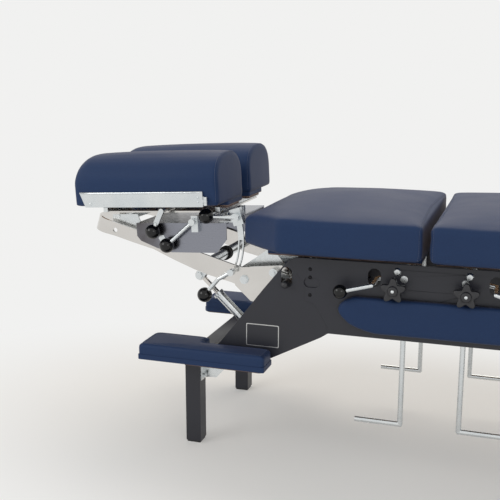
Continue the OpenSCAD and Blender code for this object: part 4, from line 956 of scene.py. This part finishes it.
def arm_seam(way):
    """Round the top panel of an armrest pad, a little inside its outline."""
    spot, normal = outline_of(arm_corners(way), ARM_SEAM_IN)
    ring = np.insert(spot - normal * ARM_SEAM_IN, 2, ARM_Z[1] + ARM_CROWN, axis=1)
    return np.vstack([ring, ring[:1]])


sewn = 0
for name, pad, end, way, body in (
        ("thoracic_rear", thoracic, THORACIC[1], -1, "thoracic"),
        ("lumbar_front", lumbar, LUMBAR[0], 1, "lumbar"),
        ("lumbar_rear", lumbar, LUMBAR[1], -1, "lumbar"),
        ("foot_front", foot, FOOT[0], 1, "table")):
    sewn += shape_seam(name, pad, end_seam(end, way), body, (way, 0, 0))
for pad, (side, way) in zip(heads, SIDES):
    sewn += shape_seam(f"head_{side}", pad, head_seam(way), f"head_{side}", (-1, 0, 0))
for pad, (side, way) in zip(arms, SIDES):
    sewn += shape_seam(f"armrest_{side}", pad, arm_seam(way), "table", (0, 0, 1))
print("stitches", sewn)

# %% [markdown]
# The cover doesn't end at the foam. It is pulled down over the edge of the board and stapled
# underneath, so only the last millimetres of plywood show. Each wrap is a thin strip round
# the board's outline.

# %% Wraps round the boards
WRAP_THICK = 1.3
WRAP_GAP = 0.2
BOARD_Z = (487.4, 505.4)
BOARD_CORNER = 3.0
PLY_SHOWS = 3.0
HEAD_BOARD_U = (-194.5, 168.5)
HEAD_BOARD_Y = (29.0, 132.0)
HEAD_WRAP_Z = (HEAD_LOW - 8, HEAD_LOW + 2)
ARM_WRAP_Z = (ARM_Z[0] - 5.5, ARM_Z[0] + 7)
# The armrest's board is smaller than its pad, so the wrap's faces stand inside the outline
ARM_WRAP_FACES = (-0.6, -3.4)


def wrap(name, corners, low, high, body, out=WRAP_GAP + WRAP_THICK, into=-WRAP_GAP):
    """A strip round an outline: out and into are how far its two faces stand outside it.
    Its section is a rectangle with a rounded foot."""
    spot, normal = outline_of(corners, BOARD_CORNER)
    lip = (out - into) / 2
    section = np.array([(out, low + lip), (out, high), (into, high), (into, low + lip),
                        (into + lip * 0.4, low), (out - lip * 0.4, low)])
    flat = spot[None] + normal[None] * section[:, 0][:, None, None]
    made = join_loop(name, lifted(flat, section[:, 1]))
    dress(made, vinyl, body, smooth=False)
    return made


def board_plan(node):
    """The board's outline as its four corners, in mm, from the frame."""
    (x0, y0, _), (x1, y1, _) = np.array(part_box(node)) / mm
    return [(x0, y0), (x1, y0), (x1, y1), (x0, y1)]


for name in ("thoracic", "lumbar", "foot"):
    wrap(f"{name}_wrap", board_plan(f"{name}_board"), BOARD_Z[0] + PLY_SHOWS, BOARD_Z[1] + 3,
         "table" if name == "foot" else name)
for side, way in SIDES:
    wrap(f"armrest_wrap_{side}", arm_corners(way), *ARM_WRAP_Z, "table", *ARM_WRAP_FACES)
for side, way in SIDES:
    y0, y1 = sorted(way * y for y in HEAD_BOARD_Y)
    u0, u1 = HEAD_BOARD_U
    strip = wrap(f"head_wrap_{side}", [(u0, y0), (u1, y0), (u1, y1), (u0, y1)],
                 *HEAD_WRAP_Z, f"head_{side}")
    strip.data.transform(to_model)

# %% [markdown]
# Two star knobs set how hard a body section must be pushed before it drops. Each has five
# narrow arms with hollows between, for the fingers. Its outline is a circle that a cosine of
# five turns pushes in, carried along the knob's axis.

# %% Star knobs
STAR_REACH = 28.5
STAR_HUB = 0.6
STAR_ARMS = 5
STAR_SHARP = 1.1
STAR_Y = -231.0
STAR_Z = 436.0
STAR_X = {"thoracic": -61.0, "lumbar": 92.0}
# Depth from the back, inset from the outline, share of the round boss, the boss's radius
STAR_STEPS = [(0, 3.2, 0, 1), (0.4, 1.3, 0, 1), (2, 0, 0, 1), (6, -0.3, 0, 1), (10.4, 0, 0, 1),
              (12.0, 1.0, 0, 1), (12.6, 2.6, 0, 1), (12.7, 4.5, 0.5, 13), (12.4, 0, 1, 12),
              (14.5, 0, 1, 11.3), (16.8, 0, 1, 10.5), (17.8, 0, 1, 9.2), (18, 0, 1, 7)]
STUD_R = 4.0
STUD_PITCH = 1.5
STUD_OUT = 19.0
STUD_INNER = -194.0
THREAD_DEPTH = 0.5
# The stud's rounded tip: distance from its end, share of its radius
STUD_TIP = [(1.6, 1), (0.4, 0.8), (0, 0.4)]


def about_y(name, x, z, y, radius, a):
    """Rings round an axis along Y. radius is given for each y, or for each y and angle a."""
    rings = np.stack(np.broadcast_arrays(
        x + radius * np.cos(a), y[:, None], z + radius * np.sin(a)), 2)
    return join_rings(name, rings, [x, y[0], z], [x, y[-1], z])


def star_knob(name, x):
    """Radius = reach * (hub + (1 - hub) * (0.5 + 0.5 cos 5a)^1.1), blended to a circle."""
    a = circle(100)
    lobe = (0.5 + 0.5 * np.cos(STAR_ARMS * (a - math.pi / 2))) ** STAR_SHARP
    star = STAR_REACH * (STAR_HUB + (1 - STAR_HUB) * lobe)
    depth, inset, share, boss = np.array(STAR_STEPS, float).T[..., None]
    radius = (star - inset) * (1 - share) + boss * share
    return about_y(name, x, STAR_Z, STAR_Y - depth[:, 0], radius, a)


def turned(name, x, z, profile):
    """A turned part: the profile's radii carried round its axis, from back to front."""
    y, r = np.array(profile, float).T
    return about_y(name, x, z, y, r[:, None], circle(24))


thread_y = np.arange(STUD_INNER, STAR_Y, -STUD_PITCH / 5)
wave = np.sin(2 * math.pi * thread_y / STUD_PITCH)
thread_r = STUD_R - THREAD_DEPTH / 2 + THREAD_DEPTH / 2 * wave
stud_line = list(zip(thread_y, thread_r))
stud_line += [(STAR_Y - STUD_OUT + back, STUD_R * share) for back, share in STUD_TIP]
for section_name, x in STAR_X.items():
    knob = star_knob(f"{section_name}_star", x)
    stud = turned(f"{section_name}_star_stud", x, STAR_Z, stud_line)
    for made, finish, slot in ((knob, pebble_resin, "black_plastic"), (stud, zinc, "zinc")):
        dress(made, finish, f"{section_name}_star")
        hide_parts(f"{section_name}_star_knob")

# %% [markdown]
# The paper clamp is folded sheet. Its top edge is rolled over into a narrow lip, and domed
# rivets hold its spring at the front and its hinge leaf at the rear.

# %% Paper clamp details
CLAMP_FACE = -214.6
CLAMP_U = (-180.0, 136.0)
CLAMP_TOP = 121.3
LIP_HIGH = 2.2
LIP_PROUD = 0.8
# Place along and up the headpiece, and radius
RIVETS = [(-154, 93.5, 3.2), (127, 97.5, 2.4), (127, 107.5, 2.4)]
# A rivet's dome: height over the clamp's face, share of its radius
DOME = [(-0.3, 1), (0.5, 1), (1.2, 0.8), (1.6, 0.45)]


line = from_head([(u, CLAMP_FACE, CLAMP_TOP - LIP_HIGH) for u in np.linspace(*CLAMP_U, 12)])
out = np.tile([0.0, -1.0, 0.0], (len(line), 1))
lip = join_rings("clamp_lip", tube(line, out, LIP_HIGH, LIP_PROUD), line[0], line[-1],
                 flip=True)
domes = []
for i, (u, w, r) in enumerate(RIVETS):
    (x, y, z), = from_head([(u, CLAMP_FACE, w)])
    dome = [(y - up, r * share) for up, share in DOME]
    domes.append(turned(f"clamp_rivet_{i + 1}", x, z, dome))
for made in (lip, *domes):
    dress(made, zinc, "clamp")

# %% [markdown]
# The leg plate carries a small plate of aluminium sheet. Here it is left blank: a satin
# black face inside a bare, bright rim.

# %% Blank plate
PLATE_X = (-405.0, -325.0)
PLATE_Z = (268.0, 322.0)
PLATE_FACE = -205.0
PLATE_CORNER = 3.0
PLATE_EASE = 0.2
scuff_patch = 3 * mm
plate_rim, tree, shader, place = start_finish("bare_aluminium", Metallic=1.0)
scuffs = add(tree, "TexNoise", {"Vector": place, "Scale": 1 / scuff_patch, "Detail": 3})
vary(shader, scuffs, ("#b9b9b8", "#d2d2d0"), scuffs, (0.3, 0.45), FULL_SPAN)


def thin_plate(name, inset, front, back, finish):
    """A flat plate with rounded corners: its outline carried from the back to the front, with
    a small step in at the front edge. front and back are measured from the leg plate's face."""
    (x0, x1), (z0, z1) = PLATE_X, PLATE_Z
    x0, x1, z0, z1 = x0 + inset, x1 - inset, z0 + inset, z1 - inset
    front, back = PLATE_FACE + front, PLATE_FACE + back
    spot, normal = outline_of([(x0, z0), (x1, z0), (x1, z1), (x0, z1)], PLATE_CORNER)
    steps = [(0.0, back), (0.0, front + PLATE_EASE), (PLATE_EASE, front)]
    rings = np.array([np.insert(spot - normal * d, 1, y, axis=1) for d, y in steps])
    x, z = (x0 + x1) / 2, (z0 + z1) / 2
    plate = join_rings(name, rings, [x, back, z], [x, front, z])
    dress(plate, finish, "table", smooth=False)


thin_plate("blank_plate_rim", 0, -0.5, 0.1, plate_rim)
thin_plate("blank_plate_face", 2, -0.7, -0.4, paint)

# %% [markdown]
# The floor is a wide disc of pale paper. Close to the table it takes light and shadow. Further
# off it turns into an even glow for the camera, mirrors and glass, and the room glows alike,
# so no horizon shows. Only those rays see the glow, so it lights nothing else.

# %% Floor and room
PAPER_WHITE = "#f1f1f0"
FLOOR_RADIUS = 14000.0
GLOW_REACH = (1.25, 0.72)
GLOW_START, GLOW_END, GLOW_LEAST = 0.55, 1.35, 0.25


def seen_ray(tree):
    """1 for the rays that the camera, mirrors and glass send, else 0."""
    ray = add(tree, "LightPath").outputs
    sharp = add(tree, "Math", {0: ray["Is Camera Ray"], 1: ray["Is Glossy Ray"]},
                operation="MAXIMUM")
    return add(tree, "Math", {0: sharp, 1: ray["Is Transmission Ray"]}, operation="MAXIMUM")


a = circle(64)
disc = FLOOR_RADIUS * np.stack([np.cos(a), np.sin(a), a * 0], 1)
studio_floor = new_piece("studio_floor", disc, [list(range(len(a)))])
paper = bpy.data.materials.new("studio_paper")
tree = fresh_tree(paper)
shrink = (1 / GLOW_REACH[0], 1 / GLOW_REACH[1], 1)
place = add(tree, "TexCoord").outputs["Object"]
reach = add(tree, "Mapping", {"Vector": place, "Scale": shrink})
far = add(tree, "VectorMath", {0: reach}, operation="LENGTH").outputs["Value"]
fade = add(tree, "MapRange", {"Value": far, "From Min": GLOW_START, "From Max": GLOW_END,
    "To Min": GLOW_LEAST}, interpolation_type="SMOOTHSTEP")
share = add(tree, "Math", {0: fade, 1: seen_ray(tree)}, operation="MULTIPLY")
lit = add(tree, "BsdfDiffuse", {"Color": "#f3f1ee"})
glow = add(tree, "Emission", {"Color": PAPER_WHITE, "Strength": 1.0})
add(tree, "OutputMaterial", {0: add(tree, "MixShader", {0: share, 1: lit, 2: glow})})
studio_floor.data.materials.append(paper)

# %% [markdown]
# Soft studio light: the room gives most of it, a large, slightly warm panel over and behind
# the table puts the grey sheen on the tops, and two weaker panels in front light the near
# sides and give the balls their highlights.

# %% Light
ROOM_LEVEL = 0.62
world = bpy.data.worlds.new("studio_room")
scene.world = world
tree = fresh_tree(world)
room = add(tree, "Background", {"Color": "#f4f4f2", "Strength": ROOM_LEVEL})
white = add(tree, "Background", {"Color": PAPER_WHITE, "Strength": 1.0})
seen = add(tree, "MixShader", {0: seen_ray(tree), 1: room, 2: white})
add(tree, "OutputWorld", {0: seen})


def panel(name, place, aim, size, power, colour="#ffffff"):
    """A soft rectangular lamp at place, turned to aim. Metres and watts."""
    lamp = put(bpy.data.lights.new(name, "AREA"), shape="RECTANGLE", size=size[0],
               size_y=size[1], energy=power, color=linear(colour)[:3])
    made = bpy.data.objects.new(name, lamp)
    scene.collection.objects.link(made)
    made.location = place
    made.rotation_euler = (Vector(aim) - Vector(place)).to_track_quat("-Z", "Y").to_euler()
    print(name, power, "W")


panel("panel_over", (-0.2, 1.3, 2.6), (0.0, 0.1, 0.5), (2.6, 1.6), 26, "#fff4e4")
panel("panel_left", (-2.2, -1.8, 1.7), (-0.4, 0.0, 0.4), (1.4, 1.2), 14)
panel("panel_right", (1.6, -2.6, 1.6), (0.1, 0.0, 0.4), (1.4, 1.0), 8)
